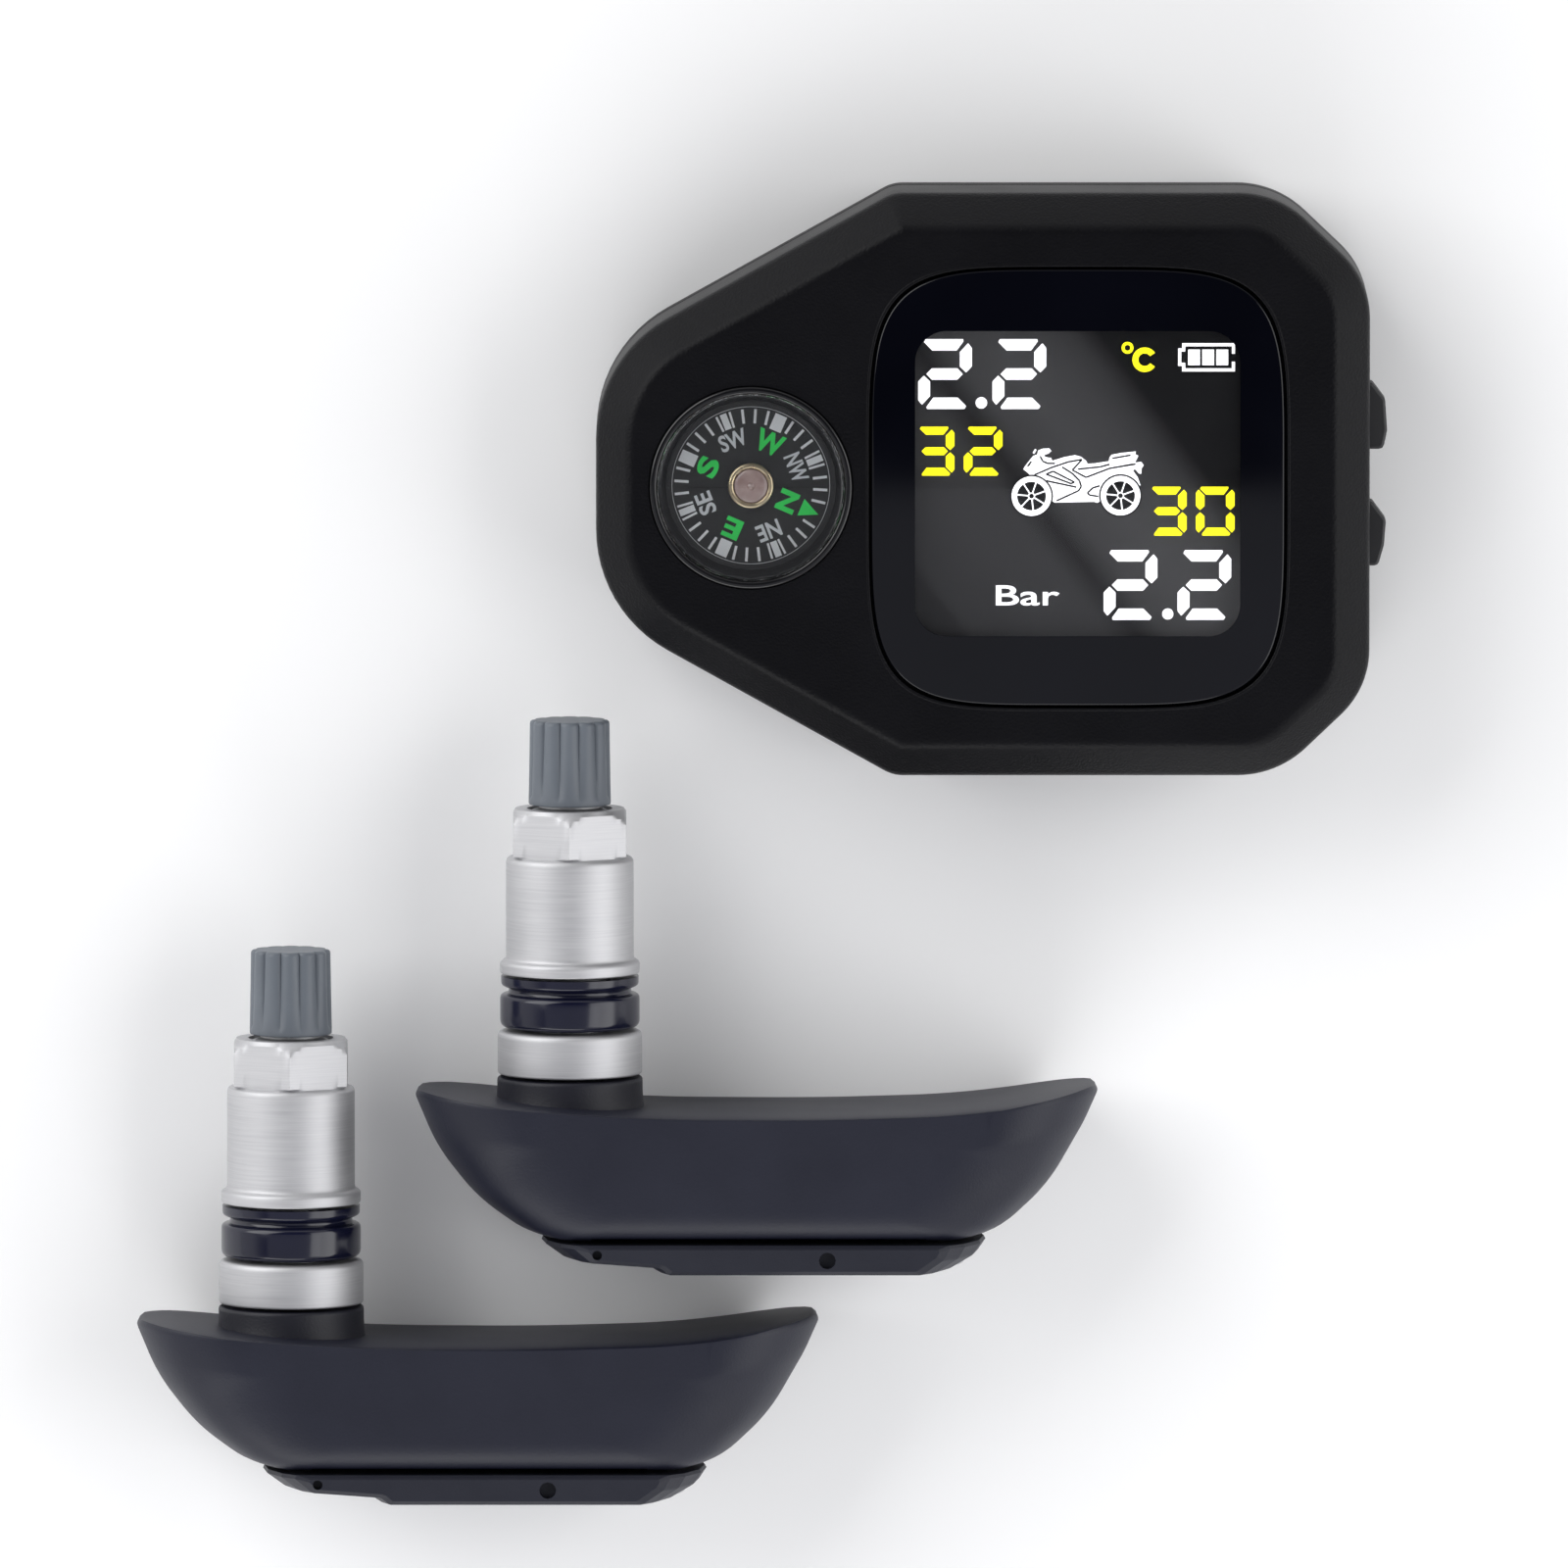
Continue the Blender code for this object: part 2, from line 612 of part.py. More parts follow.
def make_sensor_body(tag, x, y):
    depth = SENSOR_DEPTH
    base = y - SENSOR_COLLAR
    levels = both_sides([(1.0, 0.0), (0.5, 0.4), (0.16, 1.3), (0.0, 3.0), (0.0, 6.5)])
    rings = [at_height(narrowed(sensor_outline(sink), z), z) for sink, z in levels]
    housing = place("sensor_housing_" + tag, shifted(loft(rings), x, base))
    top = SENSOR_COLLAR
    join(housing, upright([(7.35, -4.6), (7.35, top - 0.3), (7.05, top)], x, base, STEM_Z, 24))
    cut(housing, flat_along(SENSOR_HOLLOW, [(0.0, 1.8), (0.0, depth - 1.8)], x, base, 1))
    u, w, v = COVER_SCREW
    join(housing, upright([(2.2, -14.1), (2.2, -3.2)], x + u, base, w, 16))
    cut(housing, upright([(1.0, -15.0), (1.0, -8.0)], x + u, base, w, 12))
    cut(housing, upright([(2.4, -6.0), (2.4, top + 1.0)], x, base, STEM_Z, 16))
    finish(housing, CHARCOAL, 0.6)

    levels = both_sides([(0.4, 0.9), (0.0, 1.3), (0.0, 3.0), (0.0, 6.5)])
    rings = [at_height(narrowed(rounded(SENSOR_COVER, inset, 1), z), z) for inset, z in levels]
    cover = place("sensor_cover_" + tag, shifted(loft(rings), x, base))
    cut(cover, upright([(1.9, v - 2.0), (1.9, v + 1.2)], x + u, base, w, 16))
    cut(cover, upright([(1.0, v - 1.0), (1.0, -13.0)], x + u, base, w, 12))
    for mark_u, mark_v, radius in COVER_MARKS:
        cut(cover, cylinder(x + mark_u, base + mark_v, depth - 1.9, depth, radius, 12))
    finish(cover, CHARCOAL, 0.55)

    profile = [
        (1.3, v + 0.1),
        (1.6, v + 0.4),
        (1.6, v + 0.9),
        (0.7, v + 0.9),
        (0.7, -9.6),
        (0.3, -9.0),
    ]
    screw = place("cover_screw_" + tag, upright(profile, x + u, base, w, 12))
    finish(screw, STEEL, 0.35, 1.0)


def make_sensor_inside(tag, x, y):
    base = y - SENSOR_COLLAR
    board = place(
        "sensor_board_" + tag,
        box(x + 2.6, x + 35.4, base - 12.3, base - 11.3, 2.4, 19.6, 0.2, 0.0, 1),
    )
    join(board, box(x + 25.5, x + 32.5, base - 11.5, base - 9.2, 7.5, 14.5, 0.3, 0.0, 1))
    finish(board, (0.02, 0.12, 0.05), 0.4)
    cell = [(7.6, -8.0), (8.0, -7.7), (8.0, -5.0), (7.6, -4.8)]
    coin = place("coin_cell_" + tag, upright(cell, x + 14.5, base, STEM_Z, 20))
    finish(coin, STEEL, 0.3, 1.0)
    screw = [(3.2, -5.3), (3.4, -5.0), (3.4, -3.9), (2.0, -3.9), (2.0, 7.8), (1.5, 8.3)]
    bolt = place("stem_screw_" + tag, upright(screw, x, base, STEM_Z, 14))
    finish(bolt, STEEL, 0.35, 1.0)


def hexagon(angle):
    """Distance to the side of a hexagon with flats NUT_HEX apart."""
    folded = (angle + math.pi / 6) % (math.pi / 3) - math.pi / 6
    return NUT_HEX / 2 / math.cos(folded)


def nut_radius(level, radius, _, angle):
    if level in (5, 6):
        return hexagon(angle)
    if level == 7:
        return min(hexagon(angle), radius)
    return radius


def cap_radius(level, radius, k, _):
    if level >= 4 and k % 2:
        return radius - CAP_FLUTE
    return radius


def make_stem(tag, x, y):
    origin = (x, y, STEM_Z)
    stem = [
        (2.4, 0.3),
        (STEM_BASE, 0.3),
        (STEM_BASE, 4.1),
        (6.8, 4.7),
        (STEM_RADIUS, 4.7),
        (STEM_RADIUS, 26.9),
        (3.1, 27.3),
        (3.1, 35.0),
        (2.8, 35.3),
        (2.5, 35.3),
        (2.5, 17.2),
        (1.1, 16.6),
        (1.1, 7.4),
        (2.4, 7.0),
    ]
    post = place("valve_stem_" + tag, upright(stem, x, y, STEM_Z, 20, True), origin)
    finish(post, ALUMINIUM, 0.3, 1.0)
    rubber = [
        (4.3, 5.0),
        (6.4, 5.0),
        (7.05, 5.5),
        (7.05, 8.0),
        (6.1, 8.6),
        (6.1, 9.2),
        (6.9, 9.6),
        (6.9, 10.2),
        (4.3, 10.2),
    ]
    grommet = place("grommet_" + tag, upright(rubber, x, y, STEM_Z, 20, True), origin)
    finish(grommet, (0.015, 0.015, 0.03), 0.3)
    sleeve = [
        (4.3, 10.5),
        (7.05, 10.5),
        (7.05, 11.8),
        (6.45, 12.0),
        (6.45, 22.4),
        (5.7, 22.6),
        (5.7, 26.8),
        (5.9, 27.2),
        (4.3, 27.2),
    ]
    nut = place("valve_nut_" + tag, upright(sleeve, x, y, STEM_Z, 24, True, nut_radius), origin)
    finish(nut, ALUMINIUM, 0.28, 1.0)
    core = [(0.8, 21.1), (2.0, 21.1), (2.2, 21.5), (2.2, 34.3), (2.0, 34.6), (0.8, 34.6)]
    brass = place("valve_core_" + tag, upright(core, x, y, STEM_Z, 12, True), origin)
    finish(brass, BRASS, 0.35, 1.0)
    pin = [(1.5, 18.5), (1.9, 18.9), (1.9, 20.3), (0.45, 20.8), (0.45, 34.9), (0.3, 35.1)]
    rod = place("core_pin_" + tag, upright(pin, x, y, STEM_Z, 10), origin)
    finish(rod, BRASS, 0.35, 1.0)
    skin = [
        (3.4, 35.7),
        (3.4, 27.6),
        (4.15, 27.6),
        (4.15, 28.3),
        (4.12, 28.7),
        (4.02, 35.9),
        (3.8, 36.2),
    ]
    solid = upright(skin, x, y, STEM_Z, 2 * CAP_RIBS, False, cap_radius)
    cap = place("valve_cap_" + tag, solid, origin)
    finish(cap, (0.12, 0.13, 0.15), 0.55)


def main():
    for obj in list(bpy.data.objects):
        bpy.data.objects.remove(obj)
    make_front_shell()
    make_rear_cover()
    make_seal_and_pad()
    make_case_screws()
    make_lens()
    make_screen()
    make_ribbon()
    make_board()
    make_antenna()
    make_power()
    make_switches()
    make_compass()
    for tag, x, y in SENSORS:
        make_sensor_body(tag, x, y)
        make_sensor_inside(tag, x, y)
        make_stem(tag, x, y)


main()
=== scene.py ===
import math

import bmesh
import bpy
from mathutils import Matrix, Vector


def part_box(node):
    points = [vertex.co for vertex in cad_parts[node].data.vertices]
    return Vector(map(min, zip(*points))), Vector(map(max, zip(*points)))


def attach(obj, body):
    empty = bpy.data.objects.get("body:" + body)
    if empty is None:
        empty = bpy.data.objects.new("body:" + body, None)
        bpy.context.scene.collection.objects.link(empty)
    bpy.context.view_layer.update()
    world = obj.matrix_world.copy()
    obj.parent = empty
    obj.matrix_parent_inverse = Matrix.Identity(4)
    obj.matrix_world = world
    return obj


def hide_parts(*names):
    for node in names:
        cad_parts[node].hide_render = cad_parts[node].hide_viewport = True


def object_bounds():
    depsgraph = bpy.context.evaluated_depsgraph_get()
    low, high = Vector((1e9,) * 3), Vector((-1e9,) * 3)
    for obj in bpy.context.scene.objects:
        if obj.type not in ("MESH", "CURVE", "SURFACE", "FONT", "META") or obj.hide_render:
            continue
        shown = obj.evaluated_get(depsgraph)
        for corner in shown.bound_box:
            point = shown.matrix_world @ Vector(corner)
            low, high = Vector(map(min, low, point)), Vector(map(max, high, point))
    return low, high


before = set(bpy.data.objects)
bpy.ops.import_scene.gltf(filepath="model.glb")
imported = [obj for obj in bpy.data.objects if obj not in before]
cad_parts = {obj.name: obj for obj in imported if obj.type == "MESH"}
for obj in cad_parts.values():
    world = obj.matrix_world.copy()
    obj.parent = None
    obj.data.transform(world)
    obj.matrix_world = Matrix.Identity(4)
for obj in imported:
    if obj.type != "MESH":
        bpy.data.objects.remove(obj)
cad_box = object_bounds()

MM = 0.001

# Lengths are in millimetres and angles in degrees unless a name says otherwise.
# Outline of the display housing: (x, y, corner radius), counter-clockwise
HOUSING = [
    (-39.3, -12.8, 14.0),
    (-9.4, -29.45, 4.0),
    (29.3, -29.45, 10.0),
    (38.6, -20.6, 9.0),
    (38.6, 20.6, 9.0),
    (29.3, 29.45, 10.0),
    (-9.4, 29.45, 4.0),
    (-39.3, 12.8, 14.0),
]
HOUSING_WALL = 1.8
FACE = 21.0
# Screw pillars of the rear cover
PILLARS = [(-16.0, 20.5), (-16.0, -20.5), (31.5, 19.5), (31.5, -19.5)]
# Lens: (middle x, middle y, half width, half height, squareness)
LENS = (9.2, 0.0, 21.07, 22.3, 4.65)
LENS_GAP = 0.30
# Clear window of the lens: (left, right, bottom, top, corner radius)
WINDOW = (-7.2, 25.5, -15.0, 15.8, 3.2)
# Openings in the right wall for the two buttons: (left, right, bottom, top, corner radius)
BUTTON_HOLES = [(35.5, 42.0, 3.0, 10.3, 0.4), (35.5, 42.0, -8.8, -1.7, 0.4)]
BUTTON_HOLE_Z = (9.6, 14.2)
COMPASS = (-23.7, 0.0)
COMPASS_HOLE = 10.3
# Direction in which the dial's north points, from +X
DIAL_NORTH = -23.5
DIAL_Z = 18.02
TICK_END = 7.6
DIAL_INK = 0.02
# Thickness of a lit shape on the screen, and how far it lies above the panel
INK = 0.03
INK_LIFT = 0.05
# Sensor body from the side: (along the body, height, corner radius), the valve stem at (0, 0)
SENSOR_BODY = [
    (-16.0, 0.8, 0.7),
    (-13.5, -5.1, 18.0),
    (-9.5, -10.2, 18.0),
    (-4.0, -14.1, 9.0),
    (42.8, -14.1, 8.0),
    (48.4, -8.9, 18.0),
    (52.0, -2.6, 18.0),
    (53.8, 1.4, 0.7),
    (47.5, 0.1, 100.0),
    (38.4, -1.0, 95.0),
    (24.7, -1.4, 300.0),
    (7.6, -1.3, 200.0),
    (-7.9, -0.2, 170.0),
]
# Battery and board space in the body, open at its underside
SENSOR_HOLLOW = [
    (-7.6, -3.6, 0.6),
    (-7.6, -6.0, 0.8),
    (2.2, -13.5, 0.6),
    (2.2, -15.5, 0.2),
    (36.0, -15.5, 0.2),
    (36.0, -13.5, 0.6),
    (44.6, -5.1, 0.8),
    (44.6, -3.6, 0.6),
]
SENSOR_DEPTH = 22.0
# Plan radius of the body's two ends, and the middle and half length they are measured from
SENSOR_ROUND = 10.5
SENSOR_MIDDLE = 18.9
SENSOR_HALF = 34.9
SENSOR_WALL = 1.8
# Index in SENSOR_BODY of the tip far from the stem, and points in each of its bends less one
FAR_TIP = 7
BEND_STEPS = 8
# How far the rounded lower side rises at the body's two faces
SENSOR_SINK = 2.9
# The body's valve seat stands this far above the body
SENSOR_COLLAR = 1.8
STEM_GAP = 0.3
NUT_FLATS = 11.4
NUT_HEX_FROM = 22.35
# Flutes of the cap: where they start, their depth there, and the length over which it doubles
CAP_FLUTES_FROM = 28.3
CAP_FLUTE = 0.24
CAP_TAPER = 6.0
# Camera: focal length, distance from its aim in metres, and tilt from straight down towards +Y.
# The aim: offset from the middle of the CAD box, and height, in metres
CAMERA_LENS = 682.0
CAMERA_REACH = 3.0
CAMERA_TILT = 5.5
CAMERA_AIM = (0.0023, 0.0058)
CAMERA_HEIGHT = 0.010


# ---------------------------------------------------------------- shapes

def rounded(corners, inset=0.0, steps=10):
    """Closed outline through corners with rounded bends, drawn in by inset."""
    points = []
    count = len(corners)
    for i in range(count):
        px, py, _ = corners[i - 1]
        x, y, radius = corners[i]
        qx, qy, _ = corners[(i + 1) % count]
        before = math.hypot(x - px, y - py)
        after = math.hypot(qx - x, qy - y)
        ax, ay = (x - px) / before, (y - py) / before
        bx, by = (qx - x) / after, (qy - y) / after
        share = 1.0 + ax * bx + ay * by
        cx = x + inset * (-ay - by) / share
        cy = y + inset * (ax + bx) / share
        turn = math.atan2(ax * by - ay * bx, ax * bx + ay * by)
        side = 1.0 if turn > 0 else -1.0
        arc = max(radius - side * inset, 0.12)
        reach = arc * math.tan(abs(turn) / 2)
        ox = cx - ax * reach - side * ay * arc
        oy = cy - ay * reach + side * ax * arc
        start = math.atan2(ay, ax) - side * math.pi / 2
        for k in range(steps + 1):
            angle = start + turn * k / steps
            points.append((ox + arc * math.cos(angle), oy + arc * math.sin(angle)))
    return points


def rectangle(x0, x1, y0, y1, radius):
    """Corners of a rectangle, for rounded()."""
    return [(x0, y0, radius), (x1, y0, radius), (x1, y1, radius), (x0, y1, radius)]


def lens_outline(inset, count=144):
    """Lens outline, a rounded square between an ellipse and a rectangle, drawn in by inset."""
    cx, cy, a, b, power = LENS
    points = []
    for k in range(count):
        angle = 2 * math.pi * k / count
        c, s = math.cos(angle), math.sin(angle)
        x = (a - inset) * math.copysign(abs(c) ** (2 / power), c)
        y = (b - inset) * math.copysign(abs(s) ** (2 / power), s)
        points.append((cx + x, cy + y))
    return points


def bend(start, corner, end, count=5):
    """Points of a soft corner between two straight runs."""
    points = []
    for k in range(count + 1):
        t = k / count
        a, b, c = (1 - t) ** 2, 2 * t * (1 - t), t * t
        points.append(tuple(a * p + b * q + c * r for p, q, r in zip(start, corner, end)))
    return points


def loft(rings, closed=False):
    """Skin over rings of equal point count, with end faces, or joined end to end when closed."""
    count = len(rings[0])
    points = [point for ring in rings for point in ring]
    faces = []
    spans = len(rings) if closed else len(rings) - 1
    for i in range(spans):
        low = i * count
        high = ((i + 1) % len(rings)) * count
        for k in range(count):
            m = (k + 1) % count
            faces.append((low + k, low + m, high + m, high + k))
    if not closed:
        faces.append(tuple(reversed(range(count))))
        faces.append(tuple(range(len(points) - count, len(points))))
    return points, faces


def at_height(outline, z):
    return [(x, y, z) for x, y in outline]


def stacked(corners, levels, steps=10):
    """Rounded outline drawn in by a different inset at each height."""
    return loft([at_height(rounded(corners, inset, steps), z) for inset, z in levels])


def turned(profile, segments=64, closed=False, radius_of=None):
    """Profile of (radius, height) points turned about the z axis."""
    rings = []
    for radius, z in profile:
        ring = []
        for k in range(segments):
            angle = 2 * math.pi * k / segments
            r = radius_of(z, radius, angle) if radius_of else radius
            ring.append((r * math.cos(angle), r * math.sin(angle), z))
        rings.append(ring)
    return loft(rings, closed)


def shifted(solid, dx=0.0, dy=0.0, dz=0.0):
    points, faces = solid
    return [(x + dx, y + dy, z + dz) for x, y, z in points], faces


def about_y(solid):
    """Solid turned so that its z axis lies along y."""
    points, faces = solid
    return [(x, z, -y) for x, y, z in points], faces


def cylinder(x, y, z0, z1, radius, segments=32):
    return shifted(turned([(radius, z0), (radius, z1)], segments), x, y)


def slot_block(half, z0, z1, y0, y1, radius):
    """Rounded block that runs along y."""
    ring = rounded(rectangle(-half, half, z0, z1, radius), 0.0, 6)
    return loft([[(x, y0, z) for x, z in ring], [(x, y1, z) for x, z in ring]])


def plate(outline, z, thick=INK):
    """Thin flat piece over any outline."""
    return loft([at_height(outline, z), at_height(outline, z + thick)])


def merged(*solids):
    """Several solids as one."""
    points = []
    faces = []
    for some_points, some_faces in solids:
        start = len(points)
        points.extend(some_points)
        faces.extend(tuple(start + i for i in face) for face in some_faces)
    return points, faces


# ---------------------------------------------------------------- objects

def raw(name, solid):
    """Mesh object from points in millimetres, its faces turned outward."""
    points, faces = solid
    mesh = bpy.data.meshes.new(name)
    mesh.from_pydata([tuple(c * MM for c in p) for p in points], [], faces)
    skin = bmesh.new()
    skin.from_mesh(mesh)
    bmesh.ops.recalc_face_normals(skin, faces=skin.faces)
    skin.to_mesh(mesh)
    skin.free()
    obj = bpy.data.objects.new(name, mesh)
    bpy.context.scene.collection.objects.link(obj)
    return obj


def cut(obj, *solids):
    """Take each solid away from the object, one at a time."""
    for solid in solids:
        tool = raw("tool", solid)
        change = obj.modifiers.new("cut", "BOOLEAN")
        change.solver = "EXACT"
        change.operation = "DIFFERENCE"
        change.object = tool
        bpy.context.view_layer.update()
        graph = bpy.context.evaluated_depsgraph_get()
        result = bpy.data.meshes.new_from_object(obj.evaluated_get(graph))
        obj.modifiers.clear()
        old = obj.data
        obj.data = result
        bpy.data.meshes.remove(old)
        tool_mesh = tool.data
        bpy.data.objects.remove(tool)
        bpy.data.meshes.remove(tool_mesh)


def smooth(obj, angle=35.0):
    obj.data.shade_smooth()
    obj.data.set_sharp_from_angle(angle=math.radians(angle))


def piece(name, solid, material, body, replaces=None, angle=35.0, cuts=()):
    """Finished piece that rides a body and may stand in for a CAD node."""
    obj = raw(name, solid)
    if cuts:
        cut(obj, *cuts)
    obj.data.name = name
    smooth(obj, angle)
    obj.data.materials.clear()
    obj.data.materials.append(material)
    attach(obj, body)
    if replaces:
        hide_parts(replaces)


# ---------------------------------------------------------------- materials

def shader_of(name):
    """New material with its node tree and main shader."""
    material = bpy.data.materials.new(name)
    material.use_nodes = True
    tree = material.node_tree
    return material, tree, tree.nodes["Principled BSDF"]


def noise(tree, scale, detail=3.0, stretch=None):
    """Noise field fixed to the object, stretched along an axis for brushed lines."""
    place = tree.nodes.new("ShaderNodeTexCoord")
    source = place.outputs["Object"]
    if stretch:
        mapping = tree.nodes.new("ShaderNodeMapping")
        mapping.inputs["Scale"].default_value = stretch
        tree.links.new(source, mapping.inputs["Vector"])
        source = mapping.outputs["Vector"]
    field = tree.nodes.new("ShaderNodeTexNoise")
    field.inputs["Scale"].default_value = scale
    field.inputs["Detail"].default_value = detail
    tree.links.new(source, field.inputs["Vector"])
    return field.outputs["Fac"]


def between(tree, source, low, high, start=0.3, stop=0.7):
    """Source spread from start..stop to low..high."""
    spread = tree.nodes.new("ShaderNodeMapRange")
    spread.inputs["From Min"].default_value = start
    spread.inputs["From Max"].default_value = stop
    spread.inputs["To Min"].default_value = low
    spread.inputs["To Max"].default_value = high
    tree.links.new(source, spread.inputs["Value"])
    return spread.outputs["Result"]


def tones(tree, source, stops):
    """Colour ramp through (position, colour) stops."""
    ramp = tree.nodes.new("ShaderNodeValToRGB")
    ramp.color_ramp.elements[0].position = stops[0][0]
    ramp.color_ramp.elements[0].color = (*stops[0][1], 1.0)
    ramp.color_ramp.elements[1].position = stops[-1][0]
    ramp.color_ramp.elements[1].color = (*stops[-1][1], 1.0)
    for position, colour in stops[1:-1]:
        ramp.color_ramp.elements.new(position).color = (*colour, 1.0)
    tree.links.new(source, ramp.inputs["Fac"])
    return ramp.outputs["Color"]


def relief(tree, shader, source, height, strength):
    """Bump of the given height in metres."""
    bump = tree.nodes.new("ShaderNodeBump")
    bump.inputs["Strength"].default_value = strength
    bump.inputs["Distance"].default_value = height
    tree.links.new(source, bump.inputs["Height"])
    tree.links.new(bump.outputs["Normal"], shader.inputs["Normal"])


def moulded(name, dark, light, rough=(0.42, 0.55), grain=5200.0, depth=0.00002, specular=0.5):
    """Grained moulded plastic or rubber: fine pits, slow tone and gloss changes."""
    material, tree, shader = shader_of(name)
    slow = noise(tree, 120.0, 4.0)
    fine = noise(tree, grain, 2.0)
    tree.links.new(tones(tree, slow, [(0.3, dark), (0.7, light)]), shader.inputs["Base Color"])
    tree.links.new(between(tree, slow, *rough), shader.inputs["Roughness"])
    shader.inputs["Specular IOR Level"].default_value = specular
    relief(tree, shader, fine, depth, 0.6)
    return material


# Stretch of a metal's pattern: long lines round a turned part, or none
BRUSHED = (1.0, 40.0, 1.0)
EVEN = (1.0, 1.0, 1.0)


def metal(name, dark, light, rough=(0.25, 0.4), stretch=BRUSHED, scale=160.0, depth=0.000004):
    """Turned or plated metal with fine lines."""
    material, tree, shader = shader_of(name)
    lines = noise(tree, scale, 3.0, stretch)
    tree.links.new(tones(tree, lines, [(0.3, dark), (0.7, light)]), shader.inputs["Base Color"])
    tree.links.new(between(tree, lines, *rough), shader.inputs["Roughness"])
    shader.inputs["Metallic"].default_value = 1.0
    relief(tree, shader, lines, depth, 0.5)
    return material


def gloss(name, dark, light, rough=(0.03, 0.07), coat=0.0, patch=60.0, specular=0.5):
    """Smooth shiny surface with slow tone and gloss changes."""
    material, tree, shader = shader_of(name)
    slow = noise(tree, patch, 2.0)
    tree.links.new(tones(tree, slow, [(0.3, dark), (0.7, light)]), shader.inputs["Base Color"])
    tree.links.new(between(tree, slow, *rough), shader.inputs["Roughness"])
    shader.inputs["Specular IOR Level"].default_value = specular
    shader.inputs["Coat Weight"].default_value = coat
    return material


def clear(name, tint, rough=(0.0, 0.02), ior=1.45):
    """Clear glass or acrylic with a slight tint."""
    material, tree, shader = shader_of(name)
    slow = noise(tree, 90.0, 2.0)
    light = tuple(min(c * 1.04, 1.0) for c in tint)
    tree.links.new(tones(tree, slow, [(0.3, tint), (0.7, light)]), shader.inputs["Base Color"])
    tree.links.new(between(tree, slow, *rough), shader.inputs["Roughness"])
    shader.inputs["Transmission Weight"].default_value = 1.0
    shader.inputs["IOR"].default_value = ior
    return material


def lit(name, colour, strength):
    """Backlit segment: its own light, with the faint mottle of a diffused panel."""
    material, tree, shader = shader_of(name)
    slow = noise(tree, 700.0, 2.0)
    dim = tuple(c * 0.9 for c in colour)
    shade = tones(tree, slow, [(0.3, dim), (0.7, colour)])
    tree.links.new(shade, shader.inputs["Base Color"])
    tree.links.new(shade, shader.inputs["Emission Color"])
    shader.inputs["Emission Strength"].default_value = strength
    shader.inputs["Roughness"].default_value = 0.4
    return material


def screen_material():
    """Dark backlit panel whose colour and glow carry soft slanting stripes of painted reflection."""
    material, tree, shader = shader_of("screen_painted_reflection")
    place = tree.nodes.new("ShaderNodeTexCoord")
    split = tree.nodes.new("ShaderNodeSeparateXYZ")
    tree.links.new(place.outputs["Object"], split.inputs["Vector"])
    lean = tree.nodes.new("ShaderNodeMath")
    lean.operation = "MULTIPLY_ADD"
    lean.inputs[1].default_value = 0.76
    tree.links.new(split.outputs["Y"], lean.inputs[0])
    tree.links.new(split.outputs["X"], lean.inputs[2])
    across = between(tree, lean.outputs["Value"], 0.0, 1.0, -0.016, 0.026)
    # (place across the slant, tone of the painted reflection)
    painted_reflection_bands = [
        (0.05, 0.006),
        (0.08, 0.020),
        (0.26, 0.031),
        (0.40, 0.033),
        (0.47, 0.010),
        (0.54, 0.044),
        (0.67, 0.056),
        (0.80, 0.045),
        (0.87, 0.030),
        (0.93, 0.002),
        (1.0, 0.002),
    ]
    # Painted reflection: light and dark stripes slant across the panel, set into its colour and given
    # off as its own glow
    shade = tones(tree, across, [(stop, (tone, tone, tone * 1.02)) for stop, tone in painted_reflection_bands])
    tree.links.new(shade, shader.inputs["Base Color"])
    tree.links.new(shade, shader.inputs["Emission Color"])
    shader.inputs["Emission Strength"].default_value = 0.45
    shader.inputs["Roughness"].default_value = 0.35
    return material


CASE = moulded(
    "case_plastic",
    (0.0015, 0.0015, 0.0024),
    (0.0022, 0.0022, 0.0034),
    (0.39, 0.44),
    3900.0,
    depth=0.00010,
    specular=0.14,
)
BUTTON = moulded("button_plastic", (0.010, 0.010, 0.012), (0.016, 0.016, 0.018), (0.45, 0.6))
LENS_BLACK = gloss(
    "lens_black", (0.0012, 0.0014, 0.003), (0.002, 0.0022, 0.0045), (0.04, 0.07), specular=0.32
)
WINDOW_GLASS = clear("window_glass", (0.86, 0.86, 0.88), (0.0, 0.02), 1.22)
DOME_GLASS = clear("capsule_glass", (0.95, 0.96, 0.97))
RIM_BLACK = gloss("rim_black", (0.004, 0.004, 0.005), (0.007, 0.007, 0.008), (0.08, 0.16))
DIAL_BLACK = moulded(
    "dial_black", (0.002, 0.002, 0.002), (0.0035, 0.0035, 0.0035), (0.5, 0.6), depth=0.000004
)
DIAL_WHITE = moulded(
    "dial_white", (0.78, 0.79, 0.80), (0.88, 0.89, 0.90), (0.5, 0.6), 2500.0, 0.000004
)
DIAL_GREY = moulded(
    "dial_grey", (0.62, 0.64, 0.66), (0.72, 0.74, 0.76), (0.5, 0.6), 2500.0, 0.000004
)
DIAL_GREEN = moulded(
    "dial_green", (0.012, 0.72, 0.09), (0.018, 0.84, 0.12), (0.5, 0.6), 2500.0, 0.000004
)
READOUT_WHITE = lit("readout_white_light", (1.0, 1.0, 1.0), 1.2)
READOUT_YELLOW = lit("readout_yellow_light", (1.0, 0.93, 0.01), 1.25)
READOUT_DARK = gloss("readout_dark", (0.01, 0.01, 0.01), (0.015, 0.015, 0.015), (0.3, 0.4))
BODY = moulded(
    "sensor_plastic",
    (0.0062, 0.0072, 0.0170),
    (0.0080, 0.0092, 0.0205),
    (0.47, 0.51),
    3900.0,
    depth=0.00004,
    specular=0.4,
)
BOSS = moulded(
    "sensor_boss_plastic",
    (0.0042, 0.0044, 0.0100),
    (0.0058, 0.0060, 0.0130),
    (0.47, 0.52),
    3900.0,
    depth=0.00004,
    specular=0.4,
)
